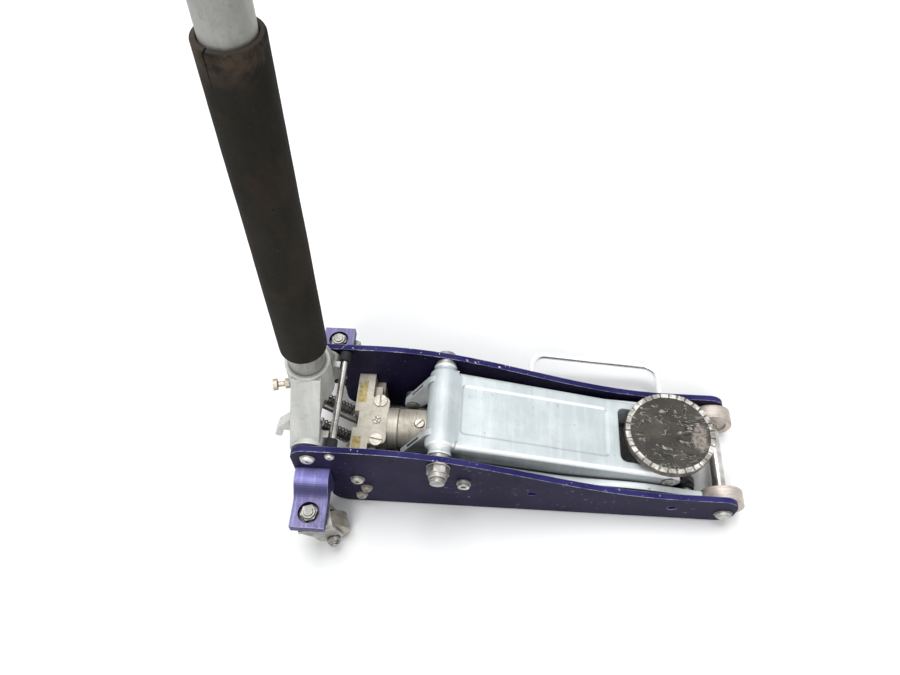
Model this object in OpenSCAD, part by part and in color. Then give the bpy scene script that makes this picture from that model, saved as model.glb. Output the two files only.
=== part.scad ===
// Low-profile trolley jack: two flat side plates carry a hydraulic power unit, a
// parallel-linkage lift arm with a swivelling saddle, two front wheels and two rear
// casters. A two-piece tubular handle stands in a tilting socket.
//
// X runs along the jack towards the saddle, Y across it, Z up. The origin lies on the
// floor below the middle of the overall box. Each module is drawn in the jack's own
// coordinates: X from the rear edge of the side plates, Z from their lower edge.

/* [Side plates] */
// Clear width between the two plates
inner_width = 125; // [119:1:135]
// Thickness of each plate
plate_t = 7; // [5:0.5:9]
// Height of the plates at the handle end
rear_height = 130; // [127:1:140]
// Height of the plates at the saddle end
front_height = 54; // [46:1:60]
// Where the top edge starts to fall
slope_start = 85; // [60:1:120]
// Where the top edge is level again
slope_end = 440; // [400:1:460]
// Radius of the two corners at the front end
nose_r = 20; // [12:1:22]
// Radius of the upper rear corner
rear_corner_r = 18; // [8:1:24]

/* [Front wheels] */
// Clear length between the links' front ends and the front wheels
wheel_gap = 3.1; // [3:0.1:27]
// Diameter of a front wheel
front_wheel_d = 50; // [46:1:52]
// Width of a front wheel
front_wheel_w = 17; // [14:1:20]
// Distance of the front axle behind the nose
axle_setback = 13; // [11:0.5:14]
// Height of the front axle above the lower edge
axle_height = 21; // [19:0.5:22]
// Diameter of the front axle
axle_d = 12; // [8:1:14]

/* [Casters] */
// Diameter of a caster wheel
caster_wheel_d = 40; // [36:1:46]
// Width of a caster wheel
caster_wheel_w = 20; // [16:1:24]
// Trail of the caster wheel behind its swivel axis
caster_trail = 18; // [8:1:19]
// Swing of the casters from the jack's long axis
caster_swing = 18; // [0:1:60]
// Distance from the side plate to the swivel axis
caster_reach = 45.5; // [42:0.5:50]
// Diameter of the caster's stem
caster_stem_d = 10; // [8:1:12]

/* [Caster brackets] */
// Length of a bracket along the jack
bracket_w = 38.5; // [36:0.5:42]
// Distance that the shelf stands out from the side plate
shelf_reach = 63; // [61:0.5:70]
// Height of the top of the shelf above the lower edge
shelf_z = 71; // [69:0.5:76]
// Thickness of the shelf
shelf_t = 12; // [10:0.5:14]
// Height of the bracket's shoulder at the plate
shoulder_z = 88; // [84:0.5:96]

/* [Lift arm] */
// Arm pivot behind which the power unit sits
pivot_x = 162.4; // [160:0.5:166]
// Height of the arm pivot
pivot_z = 109; // [107:0.5:111]
// Diameter of the arm pivot bolt
pivot_d = 16; // [12:1:18]
// Distance from the arm pivot to the saddle pins
arm_length = 270; // [262:1:274]
// Droop of the lowered arm
arm_droop = 12.6; // [11:0.1:13]
// How far each side of the arm draws in towards the saddle
arm_taper = 3.5; // [3:0.5:6]
// Wall thickness of the arm casting
arm_wall = 7; // [5:0.5:9]
// Gap between the two tines of the arm's fork
fork_gap = 69; // [66:1:70]
// Diameter of the pins in the fork
fork_pin_d = 12; // [10:0.5:14]
// Radius from the arm pivot to the ear pins
ear_r = 60; // [57:0.5:62]
// Full lifting angle of the arm
lift_angle = 66; // [40:1:66]

/* [Parallel links] */
// Clear width between a link and its plate
link_gap = 5.2; // [5.2:0.1:7]
// Link pivots ahead of the arm's pivots
link_dx = 28; // [26:0.5:30]
// Link pivots below the arm's pivots
link_dz = 37; // [35:0.2:38]
// Thickness of a link bar
link_t = 8; // [4:0.5:9]
// Height of a link bar
link_h = 22; // [14:1:23]
// Diameter of the link pivots
link_pin_d = 10; // [8:0.5:11]

/* [Saddle] */
// Diameter of the saddle
saddle_d = 103; // [90:1:108]
// Height of the saddle's face above the lower edge
saddle_z = 84.3; // [84:0.1:88]
// Saddle axis ahead of the fork pins
saddle_offset = -1.2; // [-5:0.2:0]
// Width of the serrated rim
rim_w = 5.2; // [4:0.2:8]
// Thickness of the rubber pad
pad_t = 5.3; // [4:0.1:5.8]
// Diameter of the saddle's post
post_d = 22; // [18:1:24]

/* [Power unit] */
// Height of the ram's axis above the lower edge
ram_z = 57; // [55:0.5:59]
// Outer diameter of the reservoir
reservoir_d = 48; // [44:1:52]
// Front end of the reservoir
reservoir_end = 160; // [152:1:162]
// Diameter of the ram
ram_d = 22; // [16:1:24]
// Rear face of the pump block
block_x = 56.5; // [55:0.5:60]
// Height of the top of the pump block
block_top = 77.5; // [76:0.5:82]

/* [Handle socket] */
// Socket pivot ahead of the plates' rear edge
socket_x = 19; // [18:0.5:21]
// Height of the socket pivot
socket_z = 112; // [110:0.2:115]
// Forward lean of the handle against its stop
handle_lean = 2.2; // [0:0.1:4]
// Height of the socket's rim above its pivot
socket_h = 92; // [84:1:104]
// Outer diameter of the socket's collar
collar_d = 47; // [45:1:54]
// Diameter of the two socket pivots
socket_pin_d = 12; // [8:1:14]

/* [Handle] */
// Outer diameter of the lower tube
tube_d = 38; // [34:0.5:40]
// Wall thickness of the tubes
tube_wall = 3; // [2:0.25:4]
// Top of the lower tube above the socket pivot
lower_tube_top = 560; // [520:5:640]
// Top of the upper tube above the socket pivot
upper_tube_top = 900; // [760:5:1000]
// Outer diameter of the foam sleeve
foam_d = 48.5; // [44:0.5:54]
// Lower end of the foam sleeve above the socket pivot
foam_bottom = 121; // [106:1:130]
// Length of the foam sleeve
foam_length = 354; // [260:1:363]

/* [Carry handle] */
// Rear foot of the carry handle from the plates' rear edge
carry_x = 268.4; // [250:1:290]
// Height of the rear foot
carry_z = 47.9; // [44:0.5:52]
// Distance from the rear foot to the front foot
carry_span = 163.2; // [140:1:170]
// Fall from the rear foot to the front foot
carry_drop = 18.2; // [14:0.2:22]
// Distance from the side plate to the middle of the grip bar
carry_reach = 52; // [40:1:54]
// Diameter of the carry handle's rod
carry_rod_d = 8.5; // [7:0.5:12]
// Clear diameter of the fixing holes
carry_hole_d = 10; // [6:0.2:11]

/* [Hidden] */
$fn = 48;

// Clearances
run_fit = 0.05;        // radial, shafts that turn or slide in a bore
seat_fit = 0.02;       // radial, parts fixed in a bore
free_gap = 0.3;        // moving parts beside each other
bolt_fit = 0.25;       // radial, screws through plain holes
cut = 1;               // how far a cutting shape runs past a face

// Frame
half_in = inner_width / 2;
half_out = half_in + plate_t;
plate_lift = front_wheel_d / 2 - axle_height;
axle_r = axle_d / 2;
axle_washer_t = 1;
axle_nut_r = 8.5;
axle_nut_t = 4.5;
wheel_in = half_in - axle_washer_t - front_wheel_w;
spacer_r = axle_r + 2;
rear_cut_x = 34;
rear_cut_z = 50;
rear_cut_r = 20;

// Tie rod between the plates, in front of the handle socket
tie_x = socket_x + 25.6;
tie_z = socket_z + 9;
tie_r = 4;
tie_sleeve_r = 6.5;
tie_sleeve_l = 12;
tie_head_r = 5.4;
tie_screw_r = 2.5;
tie_screw_l = 12;

// Casters
bracket_x = 2;
swivel_x = bracket_x + bracket_w / 2;
swivel_y = half_out + caster_reach;
stem_r = caster_stem_d / 2;
stem_bore_r = 12.2;
stem_seat_z = shelf_z - 8;
stem_nut_af = 17;
stem_nut_t = 8.5;
stem_washer_t = 1.6;
fork_plate_t = 4.5;
caster_bearing_t = 2;
fork_top = shelf_z - shelf_t - caster_bearing_t;
caster_axle_z = caster_wheel_d / 2 - plate_lift;
caster_axle_r = 4;
cheek_in = caster_wheel_w / 2 + 1.2;
cheek_t = 3.5;
cheek_out = cheek_in + cheek_t;
cheek_r = 11;
caster_nut_af = 13;
caster_nut_t = 8;

bracket_screw_r = 4;
bracket_head_r = 6.5;
bracket_head_t = 3;
bracket_screw_l = 18;
bracket_screw_z = (shelf_z + rear_cut_z) / 2 + 6;
bracket_screw_xs = [bracket_x + bracket_w * 0.22, bracket_x + bracket_w * 0.78];

// Lift arm, drawn along its own axis from the arm pivot
link_out = half_in - link_gap;
link_in = link_out - link_t;
arm_rear_w = 2 * (link_in - free_gap);
arm_front_w = arm_rear_w - 2 * arm_taper;
pivot_r = pivot_d / 2;
hub_r = 17.5;
hub_rim_r = 5;
collar_r = 12.5;
collar_end = half_in - 4.5;
bush_r = pivot_r + 2.5;
bush_l = 26;
arm_top = 11;
arm_bottom = -15;
arm_belly = -25;
arm_edge_r = 7;
tip_r = 13;
fork_pin_r = fork_pin_d / 2;
fork_start = arm_length - 62;
panel_x0 = 21;
web_end = panel_x0 - 3;
web_angle = atan2(arm_top, web_end) + acos(hub_r / norm([web_end, arm_top]));
web_start = hub_r * [cos(web_angle), sin(web_angle)];
panel_x1 = arm_length - 77;
panel_hw = 29.5;
panel_slope = 2.4;
panel_depth = 1.6;
hollow_x0 = hub_r + 6;
hollow_x1 = fork_start - 14;
hollow_top = 5;
ear_in = reservoir_d / 2 + 6;
ear_t = 8;
ear_out = ear_in + ear_t;
ear_web = 2.4;
ear_pin_r = 5;
ear_back = lift_angle / 2 + 7;
ear_angle = 90 + ear_back;
ear_at = ear_r * [cos(ear_angle), -sin(ear_angle)];
ear_rest = [pivot_x - ear_r * sin(ear_back), pivot_z - ear_r * cos(ear_back)];
fork_pin_x = pivot_x + arm_length * cos(arm_droop);
fork_pin_z = pivot_z - arm_length * sin(arm_droop);
pivot_nut_af = 22;
pivot_nut_t = 16;
pivot_washer_t = 2;
pivot_head_t = 4.5;

// Ram, crosshead and its slotted links
ram_link_l = 56.5;
ram_link_t = 5;
ram_link_in = ear_out + 1;
ram_link_out = ram_link_in + ram_link_t;
cross_x = ear_rest[0] + ram_link_l;
cross_t = 12;
cross_pin_r = 6;
cross_hh = 11;
slot_play = 2;
ram_r = ram_d / 2;
ram_start = block_x + 32;
bore_wall = 4;
head_t = 7;
spring_y = 14;
spring_z = 25;
spring_r = 5.5;
spring_wire_r = 0.9;
tab_t = 6;

// Parallel links
link_pin_r = link_pin_d / 2;
link_rear_x = pivot_x + link_dx;
link_rear_z = pivot_z - link_dz;
link_front_x = fork_pin_x + link_dx;
link_front_z = fork_pin_z - link_dz;
axle_x = link_front_x + link_h / 2 + wheel_gap + front_wheel_d / 2;
plate_length = axle_x + axle_setback;
link_head_r = 8;
link_rise = 24.5;

// Saddle
saddle_x = fork_pin_x + saddle_offset;
saddle_r = saddle_d / 2;
post_r = post_d / 2;
cup_t = 8.5;
cup_bottom = saddle_z - 0.5 - cup_t;
bracket_top = cup_bottom - 9;
boss_r = 24;
cheek_plate_out = fork_gap / 2 - free_gap;
bracket_nose_l = 44;
bracket_nose_hw = 40;
rim_teeth = 32;
nose_points = [[17, bracket_nose_hw], [bracket_nose_l * 0.55, bracket_nose_hw - 2],
    [bracket_nose_l * 0.8, bracket_nose_hw * 0.62], [bracket_nose_l, 10]];
nose_reversed = [for (i = [len(nose_points) - 1:-1:0]) nose_points[i]];

// Power unit
bar_d = 20;
lobe_x = block_x + 40.5;
lobe_hw = 31;
step_x = block_x + 29;
step_hw = 50;
step_z = 68;
low_x = block_x + 30.5;
low_z = 58;
block_bottom = 12;
recess_hw = 11;
recess_d = 5.5;
reservoir_r = reservoir_d / 2;
reservoir_wall = 3;
ring_l = 12;
unit_screws = [[block_x + 12.8, 64.8, 8.2], [block_x + 21.2, 41.8, 7], [block_x + 13, 20.2, 7]];
unit_screw_r = 4;
unit_screw_l = 14;
plug_x = block_x + 29.3;
plug_y = 25.5;
plug_r = 8;
filler_x = block_x + 78.5;
filler_y = -3.5;
filler_r = 5.5;
filler_seat = reservoir_r - 1.6;

// Pump plungers lie parallel to the release shaft and below it
pump_angle = 45;
roller_orbit = 14.5;
roller_r = 6;
roller_shaft_r = 3.5;
tilt_range = 75;
roller_rest = 180 + 90 - pump_angle - tilt_range / 2;
roller_at = roller_orbit * [cos(roller_rest), sin(roller_rest)];
pump_y = 17;
pump_offset = roller_orbit * (1 + cos(tilt_range / 2)) / 2;
plunger_r = 5;
cap_r = 7.2;
cap_t = 4;
cap_s = -roller_orbit * sin(tilt_range / 2) + roller_r + 0.5;
spring_seat_s = cap_s + 19;
barrel_s = (block_x - socket_x + pump_offset * sin(pump_angle)) / cos(pump_angle) - 9;
barrel_r = 10;
pump_spring_r = 7.4;
pump_wire_r = 0.9;
shaft_r = 3.5;
ball_r = 7;
shaft_end_s = (block_x + recess_d - socket_x) / cos(pump_angle) + 10;

// Handle socket
boss_in = 41;
leg_out = half_in - 2;
boss_round_r = 20;
arch_top = 40;
face_low = [-20, 12.5];
face_high = [-13.9, 17.1];
lug_top = 44;
lug_knee = [-33, 22];
lug_inner = [-28, 15];
lug_root = 13;
collar_bottom = 38;
rim_hw = collar_d / 2 - 1;
tube_r = tube_d / 2;
tube_bottom = arch_top + 4;
lug_reach = 35.5;
lug_r = 4;
lug_z = 3;
retain_z = 50;
retain_turn = 12;
retain_head = 37;
socket_pin_r = socket_pin_d / 2;
socket_head_r = 8.5;
stop_gap = 0.3;
stop_reach = (tie_x - socket_x) * cos(handle_lean) - (tie_z - socket_z) * sin(handle_lean) - tie_r - stop_gap;

// Handle
upper_r = tube_r - tube_wall - 0.3;
upper_bottom = lower_tube_top - 80;
button_z = lower_tube_top - 40;
button_r = 4;
foam_top = foam_bottom + foam_length;

// Carry handle
carry_slope = atan2(carry_drop, carry_span);
carry_l = norm([carry_span, carry_drop]);
carry_bend = 18;
carry_r = carry_rod_d / 2;

// Overall box: the rear lug of the socket and the front wheels set its length
rear_end = socket_x - lug_reach * cos(handle_lean) + lug_z * sin(handle_lean) - lug_r;
front_end = axle_x + front_wheel_d / 2;
middle_x = (rear_end + front_end) / 2;

plate_color = [0.24, 0.20, 0.45];
bracket_color = [0.50, 0.48, 0.85];
cast_color = [0.78, 0.80, 0.80];
zinc_color = [0.80, 0.77, 0.72];
steel_color = [0.70, 0.70, 0.70];
dark_color = [0.15, 0.15, 0.16];
foam_color = [0.13, 0.12, 0.11];

// Points of a circular arc
function arc(c, r, a0, a1, n = 8) =
    [for (i = [0:n]) let (a = a0 + (a1 - a0) * i / n) [c[0] + r * cos(a), c[1] + r * sin(a)]];

// Points of a smooth S between two levels
function s_curve(p, q, n = 16) =
    [for (i = [0:n]) let (t = i / n, k = (1 - cos(180 * t)) / 2)
        [p[0] + (q[0] - p[0]) * t, p[1] + (q[1] - p[1]) * k]];

// Rounded rectangle around a centre
function rounded(c, hx, hz, r) = concat(
    arc([c[0] + hx - r, c[1] + hz - r], r, 0, 90), arc([c[0] - hx + r, c[1] + hz - r], r, 90, 180),
    arc([c[0] - hx + r, c[1] - hz + r], r, 180, 270), arc([c[0] + hx - r, c[1] - hz + r], r, 270, 360));

// Everything sits in the jack's coordinates through this placement
module in_frame() translate([-middle_x, 0, plate_lift]) children();

// A piece drawn on the far side, or mirrored to the near side
module on_side(s) mirror([0, s < 0 ? 1 : 0, 0]) children();

module both_sides() {
    on_side(1) children();
    on_side(-1) children();
}

// A shape drawn in X and Z, standing between y0 and y1
module upright(y0, y1) translate([0, y1, 0]) rotate([90, 0, 0]) linear_extrude(y1 - y0) children();

// A round bar along Y
module bar_y(x, z, r, y0, y1) translate([x, y1, z]) rotate([90, 0, 0]) cylinder(h = y1 - y0, r = r);

// A hexagon along Y, given by its width across flats
module hex_y(x, z, af, y0, y1)
    translate([x, y1, z]) rotate([90, 0, 0]) cylinder(h = y1 - y0, d = af / cos(30), $fn = 6);

// A bar with two round ends between points a and b
module strap(a, ra, b, rb) {
    t = atan2(b[1] - a[1], b[0] - a[0]);
    k = acos((ra - rb) / norm(b - a));
    polygon(concat(arc(a, ra, t + k, t + 360 - k, 16), arc(b, rb, t - k, t + k, 16)));
}

// A tube swept along a list of points
module swept(path, r, sides = 5) {
    last = len(path) - 1;
    function along(i) = path[min(i + 1, last)] - path[max(i - 1, 0)];
    function across(t) = cross(t, [0.01, 0.02, 1] ) / norm(cross(t, [0.01, 0.02, 1]));
    rings = [for (i = [0:last]) let (t = along(i) / norm(along(i)), u = across(t), v = cross(t, u))
        for (k = [0:sides - 1]) path[i] + r * (u * cos(360 * k / sides) + v * sin(360 * k / sides))];
    walls = [for (i = [0:last - 1], k = [0:sides - 1], half = [0, 1])
        let (p = i * sides + k, q = i * sides + (k + 1) % sides)
        half == 0 ? [p, p + sides, q] : [q, p + sides, q + sides]];
    polyhedron(points = rings, faces = concat(
        [[for (k = [0:sides - 1]) k]], walls, [[for (k = [sides - 1:-1:0]) last * sides + k]]));
}

// Coil spring along X from 0 to length, with its ends on the axis when hooked
function coil(length, r, turns, lead, steps = 10) = concat(
    lead > 0 ? [[0, 0, 0], [lead * 0.7, 0, 0]] : [],
    [for (i = [0:turns * steps]) let (a = 360 * i / steps)
        [lead + (length - 2 * lead) * i / (turns * steps), r * sin(a), r * cos(a)]],
    lead > 0 ? [[length - lead * 0.7, 0, 0], [length, 0, 0]] : []);

// ---- Frame ----

module plate_outline() polygon(concat(
    arc([plate_length - nose_r, nose_r], nose_r, -90, 0),
    arc([plate_length - nose_r, front_height - nose_r], nose_r, 0, 90),
    s_curve([slope_end, front_height], [slope_start, rear_height], 24),
    arc([rear_corner_r, rear_height - rear_corner_r], rear_corner_r, 90, 180),
    [[0, rear_cut_z]],
    arc([rear_cut_x - 8, rear_cut_z - 8], 8, 90, 0, 5),
    arc([rear_cut_x + rear_cut_r, rear_cut_r], rear_cut_r, 180, 270)));

module plate_hole(x, z, r) bar_y(x, z, r, half_in - cut, half_out + cut);

module side_plate(s) color(plate_color) on_side(s) difference() {
    upright(half_in, half_out) plate_outline();
    plate_hole(socket_x, socket_z, socket_pin_r + seat_fit);
    plate_hole(tie_x, tie_z, tie_screw_r + bolt_fit);
    for (p = unit_screws) plate_hole(p[0], p[1], unit_screw_r + bolt_fit);
    plate_hole(pivot_x, pivot_z, pivot_r + run_fit);
    plate_hole(link_rear_x, link_rear_z, link_pin_r + seat_fit);
    plate_hole(axle_x, axle_height, axle_r + seat_fit);
    plate_hole(carry_x, carry_z, carry_hole_d / 2);
    plate_hole(carry_x + carry_span, carry_z - carry_drop, carry_hole_d / 2);
    for (x = bracket_screw_xs) {
        plate_hole(x, bracket_screw_z, bracket_screw_r + bolt_fit);
        bar_y(x, bracket_screw_z, bracket_head_r + bolt_fit, half_in - cut, half_in + bracket_head_t);
    }
}

module side_plate_near() in_frame() side_plate(-1);
module side_plate_far() in_frame() side_plate(1);

// The bracket's section: a shoulder on the plate that sweeps down into a level shelf
module bracket_section() polygon(concat(
    [[half_out, shoulder_z]],
    s_curve([half_out + 12, shoulder_z], [half_out + 35, shelf_z], 12),
    [[half_out + shelf_reach, shelf_z], [half_out + shelf_reach, shelf_z - shelf_t]],
    s_curve([half_out + 16, shelf_z - shelf_t], [half_out + 9, shelf_z - 23], 8),
    [[half_out, shelf_z - 23]]));

module caster_bracket(s) color(bracket_color) on_side(s) difference() {
    translate([bracket_x, 0, 0]) rotate([90, 0, 90]) linear_extrude(bracket_w) bracket_section();
    translate([swivel_x, swivel_y, stem_seat_z]) cylinder(h = shelf_t, r = stem_bore_r);
    translate([swivel_x, swivel_y, shelf_z - shelf_t - cut]) cylinder(h = shelf_t + cut, r = stem_r + run_fit);
    for (x = bracket_screw_xs)
        bar_y(x, bracket_screw_z, bracket_screw_r + seat_fit, half_out - cut, half_in + bracket_screw_l + 0.5);
}

module caster_bracket_near() in_frame() caster_bracket(-1);
module caster_bracket_far() in_frame() caster_bracket(1);

// Flat-headed screws from inside the plates into the brackets
module bracket_screws() color(steel_color) in_frame() both_sides() for (x = bracket_screw_xs) {
    bar_y(x, bracket_screw_z, bracket_screw_r, half_in, half_in + bracket_screw_l);
    bar_y(x, bracket_screw_z, bracket_head_r, half_in, half_in + bracket_head_t - 0.05);
}

module tie_rod() color(steel_color) in_frame() difference() {
    bar_y(tie_x, tie_z, tie_r, -half_in, half_in);
    both_sides() bar_y(tie_x, tie_z, tie_screw_r + seat_fit, half_in - tie_screw_l - 0.5, half_in + cut);
}

module tie_rod_sleeves() color(dark_color) in_frame() both_sides() difference() {
    bar_y(tie_x, tie_z, tie_sleeve_r, half_in - tie_sleeve_l, half_in);
    bar_y(tie_x, tie_z, tie_r + seat_fit, half_in - tie_sleeve_l - cut, half_in + cut);
}

// Button head with a recessed hexagon, on the outer face of a plate
module button_screw(x, z, r, head_r, head_t, length) difference() {
    union() {
        bar_y(x, z, r, half_out - length, half_out + head_t / 2);
        bar_y(x, z, head_r, half_out, half_out + head_t * 0.55);
        bar_y(x, z, head_r * 0.82, half_out, half_out + head_t);
    }
    hex_y(x, z, head_r * 0.75, half_out + head_t * 0.4, half_out + head_t + cut);
}

module tie_rod_screws() color(zinc_color) in_frame() both_sides()
    button_screw(tie_x, tie_z, tie_screw_r, tie_head_r, 3.2, plate_t + tie_screw_l);

module power_unit_screws() color(zinc_color) in_frame() both_sides() for (p = unit_screws)
    button_screw(p[0], p[1], unit_screw_r, p[2], 5, plate_t + unit_screw_l);

module socket_screws() color(zinc_color) in_frame() both_sides()
    button_screw(socket_x, socket_z, socket_pin_r, socket_head_r, 4.5, half_out - boss_in - 5);

module arm_pivot_bolt() color(zinc_color) in_frame() {
    bar_y(pivot_x, pivot_z, pivot_r, -half_out - pivot_washer_t - pivot_nut_t - 2, half_out);
    difference() {
        bar_y(pivot_x, pivot_z, pivot_nut_af / 2, half_out, half_out + pivot_head_t);
        hex_y(pivot_x, pivot_z, pivot_nut_af / 2, half_out + pivot_head_t / 2, half_out + pivot_head_t + cut);
    }
}

// Locking nut with a washer under it and a round collar at its end
module arm_pivot_nut() color(zinc_color) in_frame() difference() {
    union() {
        bar_y(pivot_x, pivot_z, pivot_nut_af * 0.6, -half_out - pivot_washer_t, -half_out);
        hex_y(pivot_x, pivot_z, pivot_nut_af, -half_out - pivot_washer_t - pivot_nut_t * 0.75,
            -half_out - pivot_washer_t + 0.01);
        bar_y(pivot_x, pivot_z, pivot_nut_af * 0.45, -half_out - pivot_washer_t - pivot_nut_t,
            -half_out - pivot_washer_t);
    }
    bar_y(pivot_x, pivot_z, pivot_r + seat_fit, -half_out - 30, -half_out + cut);
}

module pivot_washers() color(steel_color) in_frame() both_sides() difference() {
    bar_y(pivot_x, pivot_z, bush_r + 1, collar_end + 0.2, half_in);
    bar_y(pivot_x, pivot_z, pivot_r + run_fit, collar_end - cut, half_in + cut);
}

module link_pivot_bolts() color(zinc_color) in_frame() both_sides() {
    button_screw(link_rear_x, link_rear_z, link_pin_r, link_head_r, 7, plate_t);
    bar_y(link_rear_x, link_rear_z, link_pin_r, link_in - 2.6, half_out);
    bar_y(link_rear_x, link_rear_z, link_pin_r + 2.5, link_out + free_gap, half_in);
    bar_y(link_rear_x, link_rear_z, link_pin_r + 2.5, link_in - 2.6, link_in - free_gap);
}

module front_axle() color(steel_color) in_frame()
    bar_y(axle_x, axle_height, axle_r, -half_out - axle_nut_t - 0.6, half_out + axle_nut_t + 0.6);

module front_axle_nuts() color(zinc_color) in_frame() both_sides() difference() {
    union() {
        bar_y(axle_x, axle_height, axle_nut_r + 2, half_out, half_out + 1.5);
        bar_y(axle_x, axle_height, axle_nut_r, half_out, half_out + axle_nut_t);
    }
    bar_y(axle_x, axle_height, axle_r + seat_fit, half_out - cut, half_out + axle_nut_t + cut);
}

module axle_spacer() color(steel_color) in_frame() difference() {
    bar_y(axle_x, axle_height, spacer_r, -wheel_in + free_gap, wheel_in - free_gap);
    bar_y(axle_x, axle_height, axle_r + seat_fit, -wheel_in - cut, wheel_in + cut);
}

// ---- Power unit ----

module block_lobe() polygon(concat(
    [[block_x + bar_d - cut, lobe_hw]],
    arc([lobe_x - 7, lobe_hw - 7], 7, 90, 0), arc([lobe_x - 7, 7 - lobe_hw], 7, 0, -90),
    [[block_x + bar_d - cut, -lobe_hw]]));

// A cylinder along the pump's inclined axis, between two distances from the socket pivot
module pump_bar(y, offset, r, s0, s1)
    translate([socket_x, y, socket_z]) rotate([0, 90 + pump_angle, 0])
        translate([offset, 0, s0]) cylinder(h = s1 - s0, r = r);

module pump_block() color(zinc_color) in_frame() difference() {
    union() {
        translate([block_x, -half_in, block_bottom]) cube([bar_d, inner_width, block_top - block_bottom]);
        translate([block_x, -half_in, block_bottom]) cube([low_x - block_x, inner_width, low_z - block_bottom]);
        translate([block_x + 1, -step_hw, block_bottom])
            cube([step_x - block_x - 1, 2 * step_hw, step_z - block_bottom]);
        translate([0, 0, block_bottom]) linear_extrude(block_top - block_bottom) block_lobe();
        both_sides() pump_bar(pump_y, pump_offset, barrel_r, barrel_s, barrel_s + 20);
    }
    translate([block_x - cut, -recess_hw, block_bottom - cut])
        cube([recess_d + cut, 2 * recess_hw, block_top - block_bottom + 2 * cut]);
    both_sides() pump_bar(pump_y, pump_offset, plunger_r + run_fit, barrel_s - cut, barrel_s + 40);
    pump_bar(0, 0, shaft_r + run_fit, 40, shaft_end_s + 0.5);
    both_sides() for (p = unit_screws)
        bar_y(p[0], p[1], unit_screw_r + seat_fit, half_in - unit_screw_l - 0.5, half_in + cut);
    for (y = [-plug_y, plug_y]) translate([plug_x, y, block_top - 6])
        cylinder(h = 6 + cut, r = plug_r * 0.8 + seat_fit);
    translate([plug_x - 2, 0, block_top - 6]) cylinder(h = 6 + cut, r = plug_r * 0.5 + seat_fit);
    translate([ram_start - 1, 0, ram_z]) rotate([0, 90, 0])
        cylinder(h = lobe_x - ram_start + 1 + cut, r = ram_r + bore_wall + seat_fit);
}

// A plug with a screwdriver slot across its head
module slotted_plug(p, r, head_t, shank, turn) translate(p) difference() {
    union() {
        translate([0, 0, -shank]) cylinder(h = shank + 0.5, r = r * 0.8);
        cylinder(h = head_t, r = r);
    }
    translate([0, 0, head_t]) rotate(turn) cube([1.6, 3 * r, 1.6], center = true);
}

// Plugs over the check valves, with a smaller cross-slotted screw between them
module block_plugs() color(zinc_color) in_frame() {
    slotted_plug([plug_x, plug_y, block_top], plug_r, 1.6, 5.5, 4);
    slotted_plug([plug_x, -plug_y, block_top], plug_r, 1.6, 5.5, 80);
    difference() {
        slotted_plug([plug_x - 2, 0, block_top], plug_r * 0.625, 1.2, 5.5, 20);
        translate([plug_x - 2, 0, block_top + 1.2]) rotate(110) cube([1.6, 20, 1.6], center = true);
    }
}

module reservoir() color(zinc_color) in_frame() difference() {
    translate([lobe_x, 0, ram_z]) rotate([0, 90, 0]) {
        cylinder(h = reservoir_end - lobe_x, r = reservoir_r);
        cylinder(h = ring_l, r = reservoir_r + 0.8);
    }
    translate([lobe_x + ring_l, 0, ram_z]) rotate([0, 90, 0]) difference() {
        cylinder(h = 1, r = reservoir_r + 2);
        cylinder(h = 1, r = reservoir_r - 0.7);
    }
    translate([lobe_x - cut, 0, ram_z]) rotate([0, 90, 0])
        cylinder(h = reservoir_end - lobe_x + 2 * cut, r = reservoir_r - reservoir_wall);
    translate([filler_x, filler_y, ram_z]) cylinder(h = reservoir_r + cut, r = filler_r * 0.8 + seat_fit);
    translate([filler_x, filler_y, ram_z + filler_seat]) cylinder(h = reservoir_r, r = filler_r + 0.6);
}

module ram_cylinder() color(steel_color) in_frame() translate([ram_start - 1, 0, ram_z]) rotate([0, 90, 0])
    difference() {
        cylinder(h = reservoir_end - ram_start + 1, r = ram_r + bore_wall);
        translate([0, 0, -cut]) cylinder(h = reservoir_end - ram_start + 1 + 2 * cut, r = ram_r + run_fit);
    }

// Gland nut that closes the reservoir and guides the ram
module reservoir_head() color(steel_color) in_frame() translate([reservoir_end, 0, ram_z]) rotate([0, 90, 0])
    difference() {
        cylinder(h = head_t, r = reservoir_r - 1);
        translate([0, 0, -cut]) cylinder(h = head_t + 2 * cut, r = ram_r + run_fit);
        for (a = [0:90:270]) rotate(a) translate([reservoir_r - 1, 0, head_t]) cube([5, 4, 6], center = true);
    }

module filler_plug() color(zinc_color) in_frame()
    slotted_plug([filler_x, filler_y, ram_z + filler_seat], filler_r, 2.8, reservoir_wall, -40);

module ram() color(steel_color) in_frame() translate([ram_start, 0, ram_z]) rotate([0, 90, 0])
    cylinder(h = cross_x - cross_t / 2 - ram_start, r = ram_r);

// Crosshead on the end of the ram, with trunnions for the links and a tab for the springs
module crosshead() color(cast_color) in_frame() {
    upright(-ear_in + 4, ear_in - 4) polygon(rounded([cross_x, ram_z], cross_t / 2, cross_hh, 3));
    bar_y(cross_x, ram_z, cross_pin_r, -ram_link_out - 2, ram_link_out + 2);
    translate([cross_x - tab_t / 2, -spring_y - 6, spring_z - 5])
        cube([tab_t, 2 * spring_y + 12, ram_z - spring_z]);
}

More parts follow.
